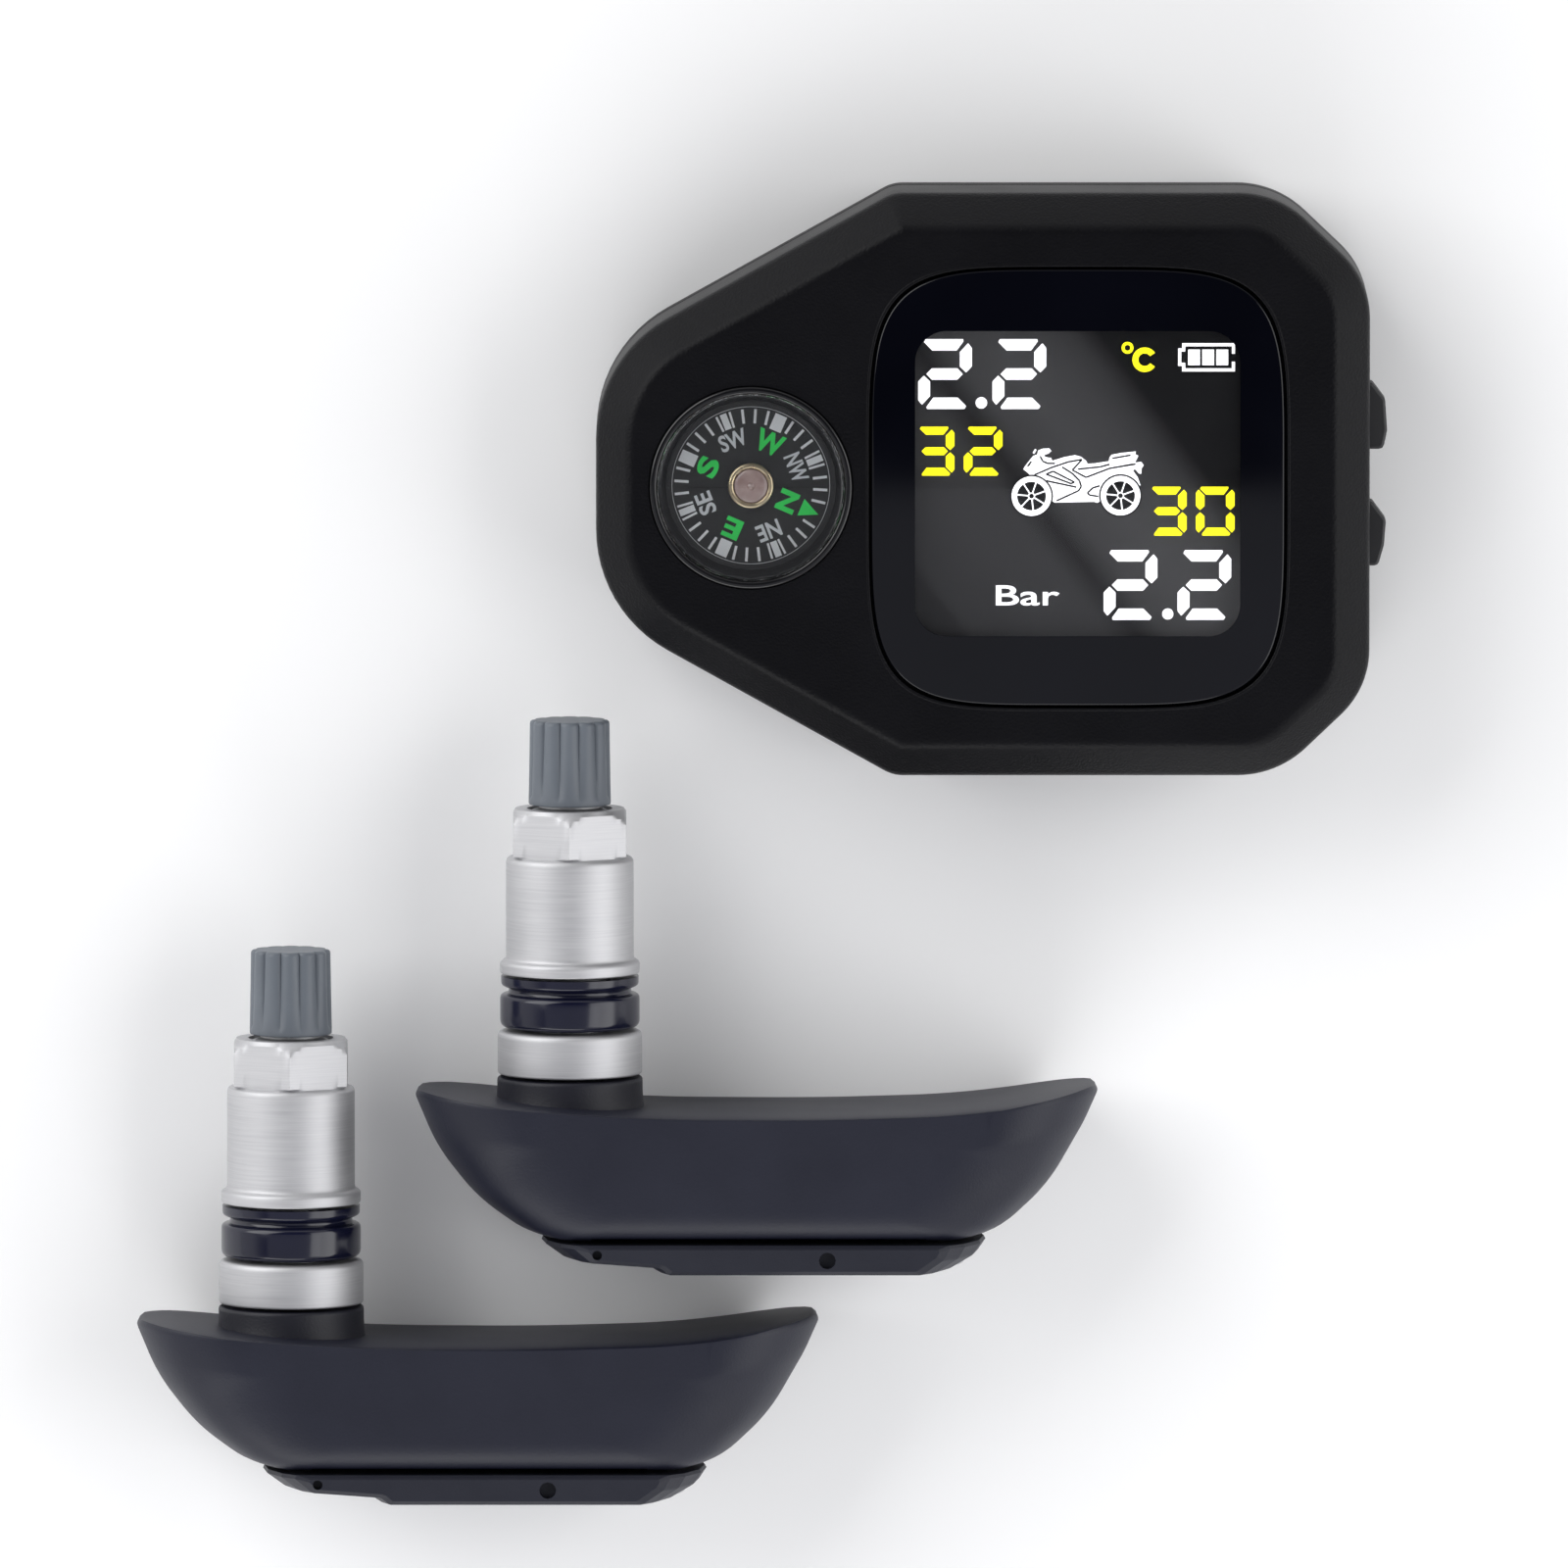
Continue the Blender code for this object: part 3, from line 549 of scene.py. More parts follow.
COVER = moulded(
    "sensor_cover_plastic",
    (0.0080, 0.0090, 0.0172),
    (0.0108, 0.0120, 0.0215),
    (0.48, 0.54),
    3900.0,
    depth=0.00004,
    specular=0.4,
)
SATIN = metal("satin_aluminium", (0.51, 0.51, 0.525), (0.59, 0.59, 0.60), (0.56, 0.63))
GROMMET = moulded(
    "grommet_rubber", (0.004, 0.0045, 0.016), (0.006, 0.007, 0.022), (0.14, 0.22), 1800.0, 0.000004
)
HUB_BRASS = metal("hub_brass", (0.60, 0.48, 0.30), (0.72, 0.60, 0.40), (0.24, 0.34), EVEN, 900.0)
HUB_BEAD = gloss("hub_bead", (0.40, 0.27, 0.25), (0.52, 0.38, 0.35), (0.12, 0.2), 0.5, 900.0)
CAP = moulded("cap_plastic", (0.105, 0.12, 0.14), (0.125, 0.142, 0.165), (0.46, 0.52), 3600.0)


# ---------------------------------------------------------------- display case

def make_case():
    """Front shell with its chamfered edge, the thin lip round the lens, and the rear cover."""
    chamfer = bend((0.0, 16.5), (0.0, 17.2), (0.45, 17.718), 5)
    crest = bend((2.85, 20.482), (3.3, FACE), (3.95, FACE), 6)
    levels = [(0.25, 6.5), (0.07, 6.57), (0.0, 6.75)] + chamfer + crest + [(4.3, FACE), (4.6, FACE)]
    cuts = [
        stacked(HOUSING, [(HOUSING_WALL, 6.0), (HOUSING_WALL, 16.4), (2.8, 17.6)], 6),
        loft([at_height(lens_outline(0.0), 18.6), at_height(lens_outline(0.0), 22.0)]),
        loft([at_height(lens_outline(2.6), 17.0), at_height(lens_outline(2.6), 19.0)]),
        cylinder(*COMPASS, 12.0, 22.0, COMPASS_HOLE, 96),
    ]
    cuts += [stacked(rectangle(*hole), [(0.0, z) for z in BUTTON_HOLE_Z], 3) for hole in BUTTON_HOLES]
    cuts.append(slot_block(6.0, 8.6, 14.0, -31.0, -27.0, 2.6))
    piece("case_front", stacked(HOUSING, levels, 12), CASE, "display", "front_shell", cuts=cuts)

    lip = bend((-0.30, 20.95), (-0.26, 21.05), (-0.12, 21.05), 4)
    lip += bend((-0.10, 21.05), (0.02, 21.05), (0.03, 20.9), 4) + [(0.03, 20.4), (-0.30, 20.4)]
    rim = loft([at_height(lens_outline(i), z) for i, z in lip], closed=True)
    piece("lens_lip", rim, CASE, "display")

    under = [(1.55, 1.3), (1.1, 1.42), (0.4, 2.1), (0.12, 2.7), (0.0, 3.3)]
    under += [(0.0, 5.95), (0.07, 6.13), (0.25, 6.2)]
    hollow = stacked(HOUSING, [(HOUSING_WALL, 3.1), (HOUSING_WALL, 7.0)], 6)
    wells = [cylinder(x, y, 0.5, 3.1, 2.3, 40) for x, y in PILLARS]
    bores = [cylinder(x, y, 2.0, 6.0, 1.3, 24) for x, y in PILLARS]
    cuts = [hollow] + wells + bores
    piece("case_back", stacked(HOUSING, under, 12), CASE, "display", "rear_cover", cuts=cuts)


def make_lens():
    """Black lens with a stepped opening, whose upper lip covers the edge of the clear window."""
    opening = rectangle(*WINDOW)
    levels = [(LENS_GAP, 19.4), (LENS_GAP, 20.7)]
    levels += bend((LENS_GAP, 20.75), (LENS_GAP, FACE), (0.62, FACE), 5) + [(0.9, FACE), (1.2, FACE)]
    slab = loft([at_height(lens_outline(i), z) for i, z in levels])
    hole = stacked(opening, [(0.0, 19.0), (0.0, 22.0)], 12)
    step = stacked(opening, [(-0.35, 19.0), (-0.35, 20.9)], 12)
    piece("lens_bezel", slab, LENS_BLACK, "display", "display_lens", cuts=(hole, step))
    sheet = stacked(opening, [(-0.3, 20.76), (-0.3, 20.87)], 12)
    piece("lens_window", sheet, WINDOW_GLASS, "display")


# ---------------------------------------------------------------- screen readout

# Lit segments of each figure, named as usual: a top, b and c right, d bottom, e and f left, g middle
SEGMENTS = {"0": "abcdef", "2": "abged", "3": "abgcd"}
FIGURE_WIDE = 5.4
FIGURE_TALL = 7.05
BAR_THICK = 1.15
POST_THICK = 1.2
# Width and height of the temperature figures as a share of the pressure figures
SMALL = (0.72, 0.7)


def segment(letter):
    """One bar or post with mitred ends, the figure's lower left corner at the origin."""
    w, h, mid = FIGURE_WIDE, FIGURE_TALL, FIGURE_TALL / 2
    half = BAR_THICK / 2
    top = [
        (0.58, h - 0.3),
        (0.75, h),
        (w - 0.90, h),
        (w - 0.84, h - 0.22),
        (w - 1.52, h - BAR_THICK),
        (1.42, h - BAR_THICK),
    ]
    middle = [
        (0.82, mid),
        (1.38, mid + half),
        (w - 1.46, mid + half),
        (w - 0.92, mid),
        (w - 1.46, mid - half),
        (1.38, mid - half),
    ]
    post = [
        (w - 0.38, h - 0.42),
        (w - POST_THICK, h - 1.30),
        (w - POST_THICK, mid + 0.76),
        (w - 0.58, mid + 0.16),
        (w, mid + 0.76),
        (w, h - 0.90),
    ]
    if letter == "a":
        return top
    if letter == "b":
        return post
    if letter == "c":
        return [(x, h - y) for x, y in post]
    if letter == "d":
        return [(w - x, h - y) for x, y in top]
    if letter == "e":
        return [(w - x, h - y) for x, y in post]
    if letter == "f":
        return [(w - x, y) for x, y in post]
    return middle


def number(text, x, y, step, z, wide=1.0, tall=1.0):
    """Seven-segment figures with their lower left corner at (x, y)."""
    solids = []
    for index, figure in enumerate(text):
        for letter in SEGMENTS[figure]:
            outline = [(x + index * step + px * wide, y + py * tall) for px, py in segment(letter)]
            solids.append(plate(outline, z))
    return solids


def disc(x, y, radius, z, count=28, thick=INK):
    ring = [
        (x + radius * math.cos(2 * math.pi * k / count), y + radius * math.sin(2 * math.pi * k / count))
        for k in range(count)
    ]
    return plate(ring, z, thick)


def ring(x, y, inner, outer, z, count=40, start=0.0, sweep=360.0, thick=INK):
    """Flat ring or arc."""
    full = sweep >= 360.0
    angles = [math.radians(start + sweep * k / count) for k in range(count if full else count + 1)]
    levels = [(inner, z), (outer, z), (outer, z + thick), (inner, z + thick)]
    if full:
        rings = [[(x + r * math.cos(a), y + r * math.sin(a), h) for a in angles] for r, h in levels]
        return loft(rings, closed=True)
    rings = [[(x + r * math.cos(a), y + r * math.sin(a), h) for r, h in levels] for a in angles]
    return loft(rings)


def bar(x0, y0, x1, y1, width, z, thick=INK):
    """Straight stroke between two points."""
    length = math.hypot(x1 - x0, y1 - y0)
    nx, ny = -(y1 - y0) / length * width / 2, (x1 - x0) / length * width / 2
    outline = [(x0 + nx, y0 + ny), (x0 - nx, y0 - ny), (x1 - nx, y1 - ny), (x1 + nx, y1 + ny)]
    return plate(outline, z, thick)


def lettering(text, size, width, weight=0.0, thick=INK):
    """Letters as a flat mesh centred on the origin, size high and width wide, in millimetres."""
    curve = bpy.data.curves.new("letters", "FONT")
    curve.body = text
    curve.size = 1.0
    curve.align_x = "CENTER"
    curve.offset = weight
    curve.resolution_u = 4
    holder = bpy.data.objects.new("letters", curve)
    bpy.context.scene.collection.objects.link(holder)
    bpy.context.view_layer.update()
    graph = bpy.context.evaluated_depsgraph_get()
    mesh = bpy.data.meshes.new_from_object(holder.evaluated_get(graph))
    points = [v.co.copy() for v in mesh.vertices]
    faces = [tuple(p.vertices) for p in mesh.polygons]
    edges = {}
    for face in faces:
        for a, b in zip(face, face[1:] + face[:1]):
            key = (min(a, b), max(a, b))
            edges.setdefault(key, []).append((a, b))
    bpy.data.objects.remove(holder)
    bpy.data.curves.remove(curve)
    bpy.data.meshes.remove(mesh)
    low = min(p.y for p in points)
    high = max(p.y for p in points)
    left = min(p.x for p in points)
    right = max(p.x for p in points)
    tall = size / (high - low)
    wide = width / (right - left)
    mx, my = (left + right) / 2, (low + high) / 2
    flat = [((p.x - mx) * wide, (p.y - my) * tall) for p in points]
    count = len(flat)
    solid = [(x, y, 0.0) for x, y in flat] + [(x, y, thick) for x, y in flat]
    skin = [tuple(reversed(f)) for f in faces] + [tuple(i + count for i in f) for f in faces]
    for uses in edges.values():
        if len(uses) == 1:
            a, b = uses[0]
            skin.append((a, b, b + count, a + count))
    return solid, skin


def turned_to(solid, x, y, z, degrees=0.0):
    """Solid turned about the z axis, then moved."""
    c, s = math.cos(math.radians(degrees)), math.sin(math.radians(degrees))
    points, faces = solid
    return [(x + px * c - py * s, y + px * s + py * c, z + pz) for px, py, pz in points], faces


def make_readout():
    """Lit picture just above the panel: pressures, temperatures, unit, battery and motorcycle."""
    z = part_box("lcd_panel")[1][2] / MM + INK_LIFT
    white = number("22", -6.88, 7.78, 7.47, z)
    white.append(disc(-0.52, 8.4, 0.58, z))
    white += number("22", 11.8, -13.52, 7.43, z)
    white.append(disc(18.25, -12.92, 0.56, z))
    piece("readout_white", merged(*white), READOUT_WHITE, "display")

    yellow = number("32", -7.12, 1.05, 4.84, z, *SMALL)
    yellow += number("30", 16.25, -5.0, 4.82, z, *SMALL)
    yellow.append(ring(14.17, 13.95, 0.29, 0.6, z, 24))
    yellow.append(ring(15.9, 12.75, 0.64, 1.24, z, 36, 34.0, 292.0))
    piece("readout_yellow", merged(*yellow), READOUT_YELLOW, "display")

    name = turned_to(lettering("Bar", 2.05, 6.4, 0.01), 4.15, -11.05, z)
    piece("readout_unit", name, READOUT_WHITE, "display")

    x0, x1, y0, y1 = 19.66, 24.98, 11.56, 14.42
    line, nub, low, high = 0.32, 0.4, 12.55, 13.35
    outer = [
        (x1, high), (x1, y1), (x0, y1), (x0, y1 - 0.52), (x0 - nub, y1 - 0.52),
        (x0 - nub, y0 + 0.56), (x0, y0 + 0.56), (x0, y0), (x1, y0), (x1, low),
    ]
    inner = [
        (x1 - line, low), (x1 - line, y0 + line), (x0 + line, y0 + line), (x0 + line, y0 + 0.88),
        (x0 - nub + line, y0 + 0.88), (x0 - nub + line, y1 - 0.84), (x0 + line, y1 - 0.84),
        (x0 + line, y1 - line), (x1 - line, y1 - line), (x1 - line, high),
    ]
    parts = [plate(outer + inner, z)]
    for k in range(3):
        left, right = 20.26 + k * 1.42, 20.26 + k * 1.42 + 1.2
        parts.append(plate([(left, 12.2), (right, 12.2), (right, 13.78), (left, 13.78)], z))
    piece("readout_battery", merged(*parts), READOUT_WHITE, "display")
    make_bike(z)


# The motorcycle's dark lines lie over its white shape, and its wheels over both
BIKE_MOVE = (-0.2, -0.15)
BIKE_LINE = 0.17
LINE_LIFT = 0.035
LINE_INK = 0.02
WHEEL_LIFT = 0.06


def make_bike(z):
    """Side view of a motorcycle: white shape, dark wheel centres and fine dark panel lines."""
    outline = [
        (3.90, 1.85), (4.10, 2.20), (4.90, 3.20), (5.30, 3.33), (5.38, 3.73), (5.86, 3.93),
        (6.50, 3.96), (6.72, 3.70), (6.42, 3.43), (6.00, 3.30), (6.10, 3.09), (6.70, 2.98),
        (6.83, 2.70), (8.00, 3.07), (9.10, 3.27), (9.67, 3.12), (10.22, 2.70), (10.36, 2.40),
        (11.05, 2.44), (12.50, 2.66), (12.57, 3.02), (12.78, 3.31), (13.82, 3.50), (15.23, 3.65),
        (15.16, 3.36), (15.48, 3.21), (15.13, 2.52), (15.76, 2.59), (16.00, 2.25), (15.80, 1.93),
        (15.76, 1.38), (15.55, 1.42), (15.13, 1.86), (14.93, 1.71), (15.41, 1.03), (15.70, 0.21),
        (15.50, 0.20), (14.60, 0.60), (13.60, -0.20), (12.00, -0.80), (11.60, -1.40), (11.37, -1.55),
        (11.05, -1.44), (7.05, -1.52), (6.80, -1.35), (6.00, -0.60), (4.80, 0.30), (4.62, 1.22),
        (4.27, 1.57),
    ]
    white = [plate(outline, z), bar(4.92, 3.45, 5.16, 3.86, 0.2, z)]
    dark = []
    line, wheel = z + LINE_LIFT, z + WHEEL_LIFT
    for cx, cy in ((4.73, -0.86), (13.68, -0.81)):
        dark.append(disc(cx, cy, 2.0 + BIKE_LINE, line, 48, LINE_INK))
        white.append(ring(cx, cy, 1.45, 2.0, wheel, 48))
        white.append(ring(cx, cy, 0.24, 0.36, wheel, 24))
        for k in range(7):
            a = math.radians(20.0 + 360.0 * k / 7)
            c, s = math.cos(a), math.sin(a)
            white.append(bar(cx + 0.36 * c, cy + 0.36 * s, cx + 1.5 * c, cy + 1.5 * s, 0.14, wheel))
    shape = shifted(merged(*white), *BIKE_MOVE)
    piece("readout_bike", shape, READOUT_WHITE, "display")
    runs = [
        [(5.03, 1.28), (6.69, 2.00), (8.42, 2.59), (9.80, 2.83), (8.84, 1.76)],
        [(7.80, 2.08), (8.84, 1.42), (9.55, 0.70), (9.73, 0.10), (9.46, -0.32), (7.25, -1.34)],
        [(6.20, 1.35), (6.90, 1.64), (9.04, 0.55), (8.70, 0.40), (6.20, 1.35)],
        [(6.20, 0.69), (9.25, 0.04)],
        [(8.84, 1.76), (10.22, 1.03), (12.57, 1.93), (14.90, 2.35)],
        [(9.40, 1.86), (11.60, 2.08), (12.57, 2.34)],
        [(12.85, 2.95), (14.70, 3.27)],
        [(13.20, 2.05), (15.20, 2.37)],
        [(11.60, 0.18), (10.90, -0.03), (10.36, -0.54), (10.57, -0.76), (11.46, -0.90)],
        [(5.60, 3.17), (5.86, 2.66), (6.35, 2.44), (7.10, 2.44)],
    ]
    dark.append(plate([(4.22, 2.12), (4.50, 2.15), (4.80, 2.66), (4.62, 2.66)], line, LINE_INK))
    for run in runs:
        for (ax, ay), (bx, by) in zip(run, run[1:]):
            dark.append(bar(ax, ay, bx, by, BIKE_LINE, line, LINE_INK))
    lines = shifted(merged(*dark), *BIKE_MOVE)
    piece("readout_bike_lines", lines, READOUT_DARK, "display")


# ---------------------------------------------------------------- compass dial

def radial(angle, r0, r1, half_width, z):
    """Block on the dial between two radii, half_width in degrees at the outer end."""
    half = r1 * math.radians(half_width)
    a = math.radians(angle)
    ux, uy = math.cos(a), math.sin(a)
    cx, cy = COMPASS
    outline = [
        (cx + r0 * ux + half * uy, cy + r0 * uy - half * ux),
        (cx + r1 * ux + half * uy, cy + r1 * uy - half * ux),
        (cx + r1 * ux - half * uy, cy + r1 * uy + half * ux),
        (cx + r0 * ux - half * uy, cy + r0 * uy + half * ux),
    ]
    return plate(outline, z, DIAL_INK)


def make_dial():
    """Ticks, north arrow and compass letters printed on the turning card."""
    z = DIAL_Z
    cx, cy = COMPASS
    white = []
    green = []
    for quarter in range(4):
        base = DIAL_NORTH + 90.0 * quarter
        for offset in (10, 20, 30, 60, 70, 80):
            white.append(radial(base + offset, 6.2, TICK_END, 1.0, z))
        white.append(radial(base + 39.7, 6.0, TICK_END, 0.85, z))
        white.append(radial(base + 45.0, 6.0, TICK_END, 2.5, z))
        white.append(radial(base + 50.3, 6.0, TICK_END, 0.85, z))
        if quarter:
            white.append(radial(base, 5.95, TICK_END, 4.6, z))
    white.append(ring(cx, cy, 7.8, 7.84, z, 96, thick=DIAL_INK))
    a = math.radians(DIAL_NORTH)
    ux, uy = math.cos(a), math.sin(a)
    tip = (cx + 7.3 * ux, cy + 7.3 * uy)
    left = (cx + 5.42 * ux - 0.9 * uy, cy + 5.42 * uy + 0.9 * ux)
    right = (cx + 5.42 * ux + 0.9 * uy, cy + 5.42 * uy - 0.9 * ux)
    green.append(plate([right, tip, left], z, DIAL_INK))
    piece("dial_ticks", merged(*white), DIAL_WHITE, "compass_rose")
    # Letter, angle from north, distance from the middle, height, width
    letters = (
        ("N", 0, 3.95, 1.95, 2.15),
        ("W", 90, 4.65, 2.2, 2.85),
        ("S", 180, 4.65, 2.1, 1.9),
        ("E", 270, 4.65, 2.05, 1.75),
    )
    for text, turn, reach, tall, wide in letters:
        angle = DIAL_NORTH + turn
        x = cx + reach * math.cos(math.radians(angle))
        y = cy + reach * math.sin(math.radians(angle))
        green.append(turned_to(lettering(text, tall, wide, 0.04, DIAL_INK), x, y, z, angle - 90))
    piece("dial_points", merged(*green), DIAL_GREEN, "compass_rose")
    grey = []
    for text, turn, wide in (("NW", 45, 2.85), ("SW", 135, 2.8), ("SE", 225, 2.2), ("NE", 315, 2.4)):
        angle = DIAL_NORTH + turn
        x = cx + 4.85 * math.cos(math.radians(angle))
        y = cy + 4.85 * math.sin(math.radians(angle))
        grey.append(turned_to(lettering(text, 1.7, wide, 0.025, DIAL_INK), x, y, z, angle - 90))
    piece("dial_between", merged(*grey), DIAL_GREY, "compass_rose")


def make_capsule():
    """Domed compass glass, its rim, and the brass washer and jewel the card turns on."""
    glass = [(9.4, 20.3), (9.4, 20.7)] + bend((9.38, 20.85), (9.36, 21.02), (8.9, 21.08), 5)
    glass += [(7.6, 21.2), (6.0, 21.3), (4.0, 21.39), (2.0, 21.44), (0.3, 21.45)]
    solid = shifted(turned(glass, 96), *COMPASS)
    piece("capsule_window", solid, DOME_GLASS, "display", "compass_dome", angle=50.0)
    washer = [(1.72, 18.3), (2.22, 18.3)] + bend((2.28, 18.34), (2.28, 18.62), (2.05, 18.64), 4)
    washer += bend((1.95, 18.64), (1.78, 18.62), (1.72, 18.5), 3)
    solid = shifted(turned(washer, 64, closed=True), *COMPASS)
    piece("dial_hub", solid, HUB_BRASS, "compass_rose", "compass_hub")
    bead = [(1.68, 18.3), (1.68, 18.5)] + bend((1.66, 18.66), (1.5, 18.82), (1.1, 18.86), 4)
    bead += [(0.6, 18.9), (0.42, 18.92), (0.36, 18.86), (0.3, 18.92), (0.12, 19.06), (0.04, 19.1)]
    solid = shifted(turned(bead, 64), *COMPASS)
    piece("dial_jewel", solid, HUB_BEAD, "compass_rose", angle=50.0)
    rim = [(9.5, 20.72)] + bend((9.5, 21.1), (9.5, 21.34), (9.75, 21.34), 4)
    rim += bend((9.9, 21.34), (10.2, 21.34), (10.2, 20.98), 6) + [(10.2, 20.72)]
    solid = shifted(turned(rim, 120, closed=True), *COMPASS)
    piece("capsule_rim", solid, RIM_BLACK, "display", "compass_ring")


# ---------------------------------------------------------------- wheel sensors

def hexagon(angle):
    """Distance from the nut's axis to its flats at an angle."""
    folded = (angle + math.pi / 6) % (math.pi / 3) - math.pi / 6
    return NUT_FLATS / 2 / math.cos(folded)


def nut_radius(z, radius, angle):
    """Round sleeve below, hexagon above."""
    if z <= NUT_HEX_FROM:
        return radius
    return min(hexagon(angle), radius)


def cap_radius(z, radius, angle):
    """Twelve flutes that deepen towards the closed end."""
    if radius < 3.0 or z < CAP_FLUTES_FROM:
        return radius
    rib = abs(math.cos(6 * angle)) ** 0.7
    depth = CAP_FLUTE * (1.0 + min((z - CAP_FLUTES_FROM) / CAP_TAPER, 1.0))
    return radius - depth * (1.0 - rib)


def upright(profile, x, y, z, segments=96, closed=False, radius_of=None):
    """Turned profile of (radius, distance along the stem) points, laid along y from (x, y, z)."""
    return shifted(about_y(turned(profile, segments, closed, radius_of)), x, y, z)


def curved_back():
    """Points of the body's curved back, from its far tip to the tip beside the stem."""
    outline = rounded(SENSOR_BODY, 0.0, BEND_STEPS)
    half = BEND_STEPS // 2
    return outline[FAR_TIP * (BEND_STEPS + 1) + half:] + outline[:half + 1]


SENSOR_BACK = curved_back()


def back_height(u):
    """Height of the curved back at u."""
    for (au, av), (bu, bv) in zip(SENSOR_BACK, SENSOR_BACK[1:]):
        if bu <= u <= au:
            return av + (bv - av) * (au - u) / max(au - bu, 0.001)
    return SENSOR_BACK[0][1] if u > SENSOR_BACK[0][0] else SENSOR_BACK[-1][1]


def sensor_ring(sink, z):
    """Body outline at height z: its ends and lower side are drawn in, and its back stays one surface."""
    middle = SENSOR_DEPTH / 2
    reach = max(abs(z - middle) - middle + SENSOR_ROUND, 0.0)
    share = 1.0 - (SENSOR_ROUND - math.sqrt(SENSOR_ROUND ** 2 - reach ** 2)) / SENSOR_HALF
    points = []
    for u, v in rounded(SENSOR_BODY, 0.28 * sink, BEND_STEPS):
        depth = min(max((-2.0 - v) / 6.5, 0.0), 1.0)
        ease = depth * depth * (3.0 - 2.0 * depth)
        low = sink * ease
        drawn = SENSOR_MIDDLE + (u - SENSOR_MIDDLE) * share * (1.0 - 0.075 * low)
        lift = (1.0 - ease) * (back_height(drawn) - back_height(u))
        points.append((drawn, v + lift + SENSOR_SINK * low, z))
    return points


def make_sensor(tag):
    """Sensor body with its valve seat, and the stem, grommet, nut and cap on it."""
    low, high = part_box("valve_stem_" + tag)
    x = (low[0] + high[0]) / 2 / MM
    z = (low[2] + high[2]) / 2 / MM
    y = low[1] / MM - STEM_GAP
    base = y - SENSOR_COLLAR
    body = "sensor_" + tag

    edge = [(1.0, 0.0), (0.84, 0.05), (0.68, 0.16), (0.52, 0.36), (0.36, 0.68), (0.22, 1.1)]
    edge += [(0.11, 1.7), (0.04, 2.4), (0.0, 3.2), (0.0, 4.2), (0.0, 5.6), (0.0, 7.2), (0.0, 9.0)]
    levels = edge + [(0.0, SENSOR_DEPTH / 2)] + [(sink, SENSOR_DEPTH - h) for sink, h in reversed(edge)]
    room = [(0.0, SENSOR_WALL), (0.0, SENSOR_DEPTH - SENSOR_WALL)]
    cuts = (
        shifted(stacked(SENSOR_HOLLOW, room, 3), x, base),
        upright([(2.4, -8.0), (2.4, 1.0)], x, y, z, 32),
    )
    solid = shifted(loft([sensor_ring(sink, h) for sink, h in levels]), x, base)
    piece("sensor_case_" + tag, solid, BODY, body, "sensor_housing_" + tag, cuts=cuts, angle=40.0)
    neck = [(2.45, -5.0), (7.7, -4.2), (7.42, -2.4), (7.35, -1.4), (7.35, -0.5)]
    neck += bend((7.35, -0.4), (7.35, -0.02), (7.0, 0.0), 4) + [(2.45, 0.0)]
    solid = upright(neck, x, y, z, 96, True)
    piece("sensor_boss_" + tag, solid, BOSS, body)

    foot = [(2.4, 0.3), (7.0, 0.3)] + bend((7.05, 0.3), (7.3, 0.3), (7.3, 0.55), 4)
    foot += [(7.3, 2.0), (7.3, 3.9)] + bend((7.3, 4.1), (7.3, 4.65), (6.7, 4.7), 5)
    foot += [(4.0, 4.7), (4.0, 26.9), (3.1, 27.3), (3.1, 35.0), (2.8, 35.3), (2.5, 35.3)]
    foot += [(2.5, 17.2), (1.1, 16.6), (1.1, 7.4), (2.4, 7.0)]
    solid = upright(foot, x, y, z, 96, True)
    piece("stem_metal_" + tag, solid, SATIN, body, "valve_stem_" + tag)

    rubber = [(4.3, 5.0)] + bend((6.2, 5.0), (7.05, 5.0), (7.05, 5.8), 5)
    rubber += [(7.05, 7.0)] + bend((7.05, 7.9), (7.05, 8.4), (6.5, 8.45), 4)
    rubber += bend((6.3, 8.5), (6.05, 8.8), (6.3, 9.1), 4)
    rubber += bend((6.5, 9.15), (6.95, 9.2), (6.95, 9.6), 4) + [(6.95, 10.2), (4.3, 10.2)]
    solid = upright(rubber, x, y, z, 96, True)
    piece("grommet_rubber_" + tag, solid, GROMMET, body, "grommet_" + tag)

    nut = [(4.3, 10.5), (6.8, 10.5)] + bend((6.85, 10.5), (7.05, 10.5), (7.05, 10.75), 3)
    nut += [(7.05, 11.3)] + bend((7.05, 11.4), (7.05, 11.75), (6.6, 11.9), 4)
    nut += bend((6.55, 11.95), (6.45, 12.05), (6.45, 12.4), 3)
    nut += [(6.45, 15.0), (6.45, 19.0)] + bend((6.45, 21.7), (6.45, 22.2), (6.0, 22.3), 5)
    nut += [(5.95, 22.36), (6.6, 22.55), (6.6, 24.0), (6.6, 25.8), (6.25, 26.4), (5.9, 26.8)]
    nut += [(5.5, 27.2), (4.3, 27.2)]
    solid = upright(nut, x, y, z, 144, True, nut_radius)
    piece("nut_metal_" + tag, solid, SATIN, "nut_" + tag, "valve_nut_" + tag, angle=24.0)

    cap = [(3.4, 35.7), (3.4, 27.6)] + bend((4.0, 27.6), (4.15, 27.6), (4.15, 27.8), 3)
    cap += [(4.15, 28.2), (4.14, 28.6), (4.10, 30.5), (4.06, 33.0), (4.03, 35.0), (4.02, 35.7)]
    cap += bend((4.02, 35.8), (4.0, 36.15), (3.6, 36.15), 3) + [(3.1, 36.12), (2.0, 36.1), (0.4, 36.1)]
    solid = upright(cap, x, y, z, 192, False, cap_radius)
    piece("cap_plastic_" + tag, solid, CAP, "cap_" + tag, "valve_cap_" + tag, angle=50.0)


# ---------------------------------------------------------------- carried-over nodes

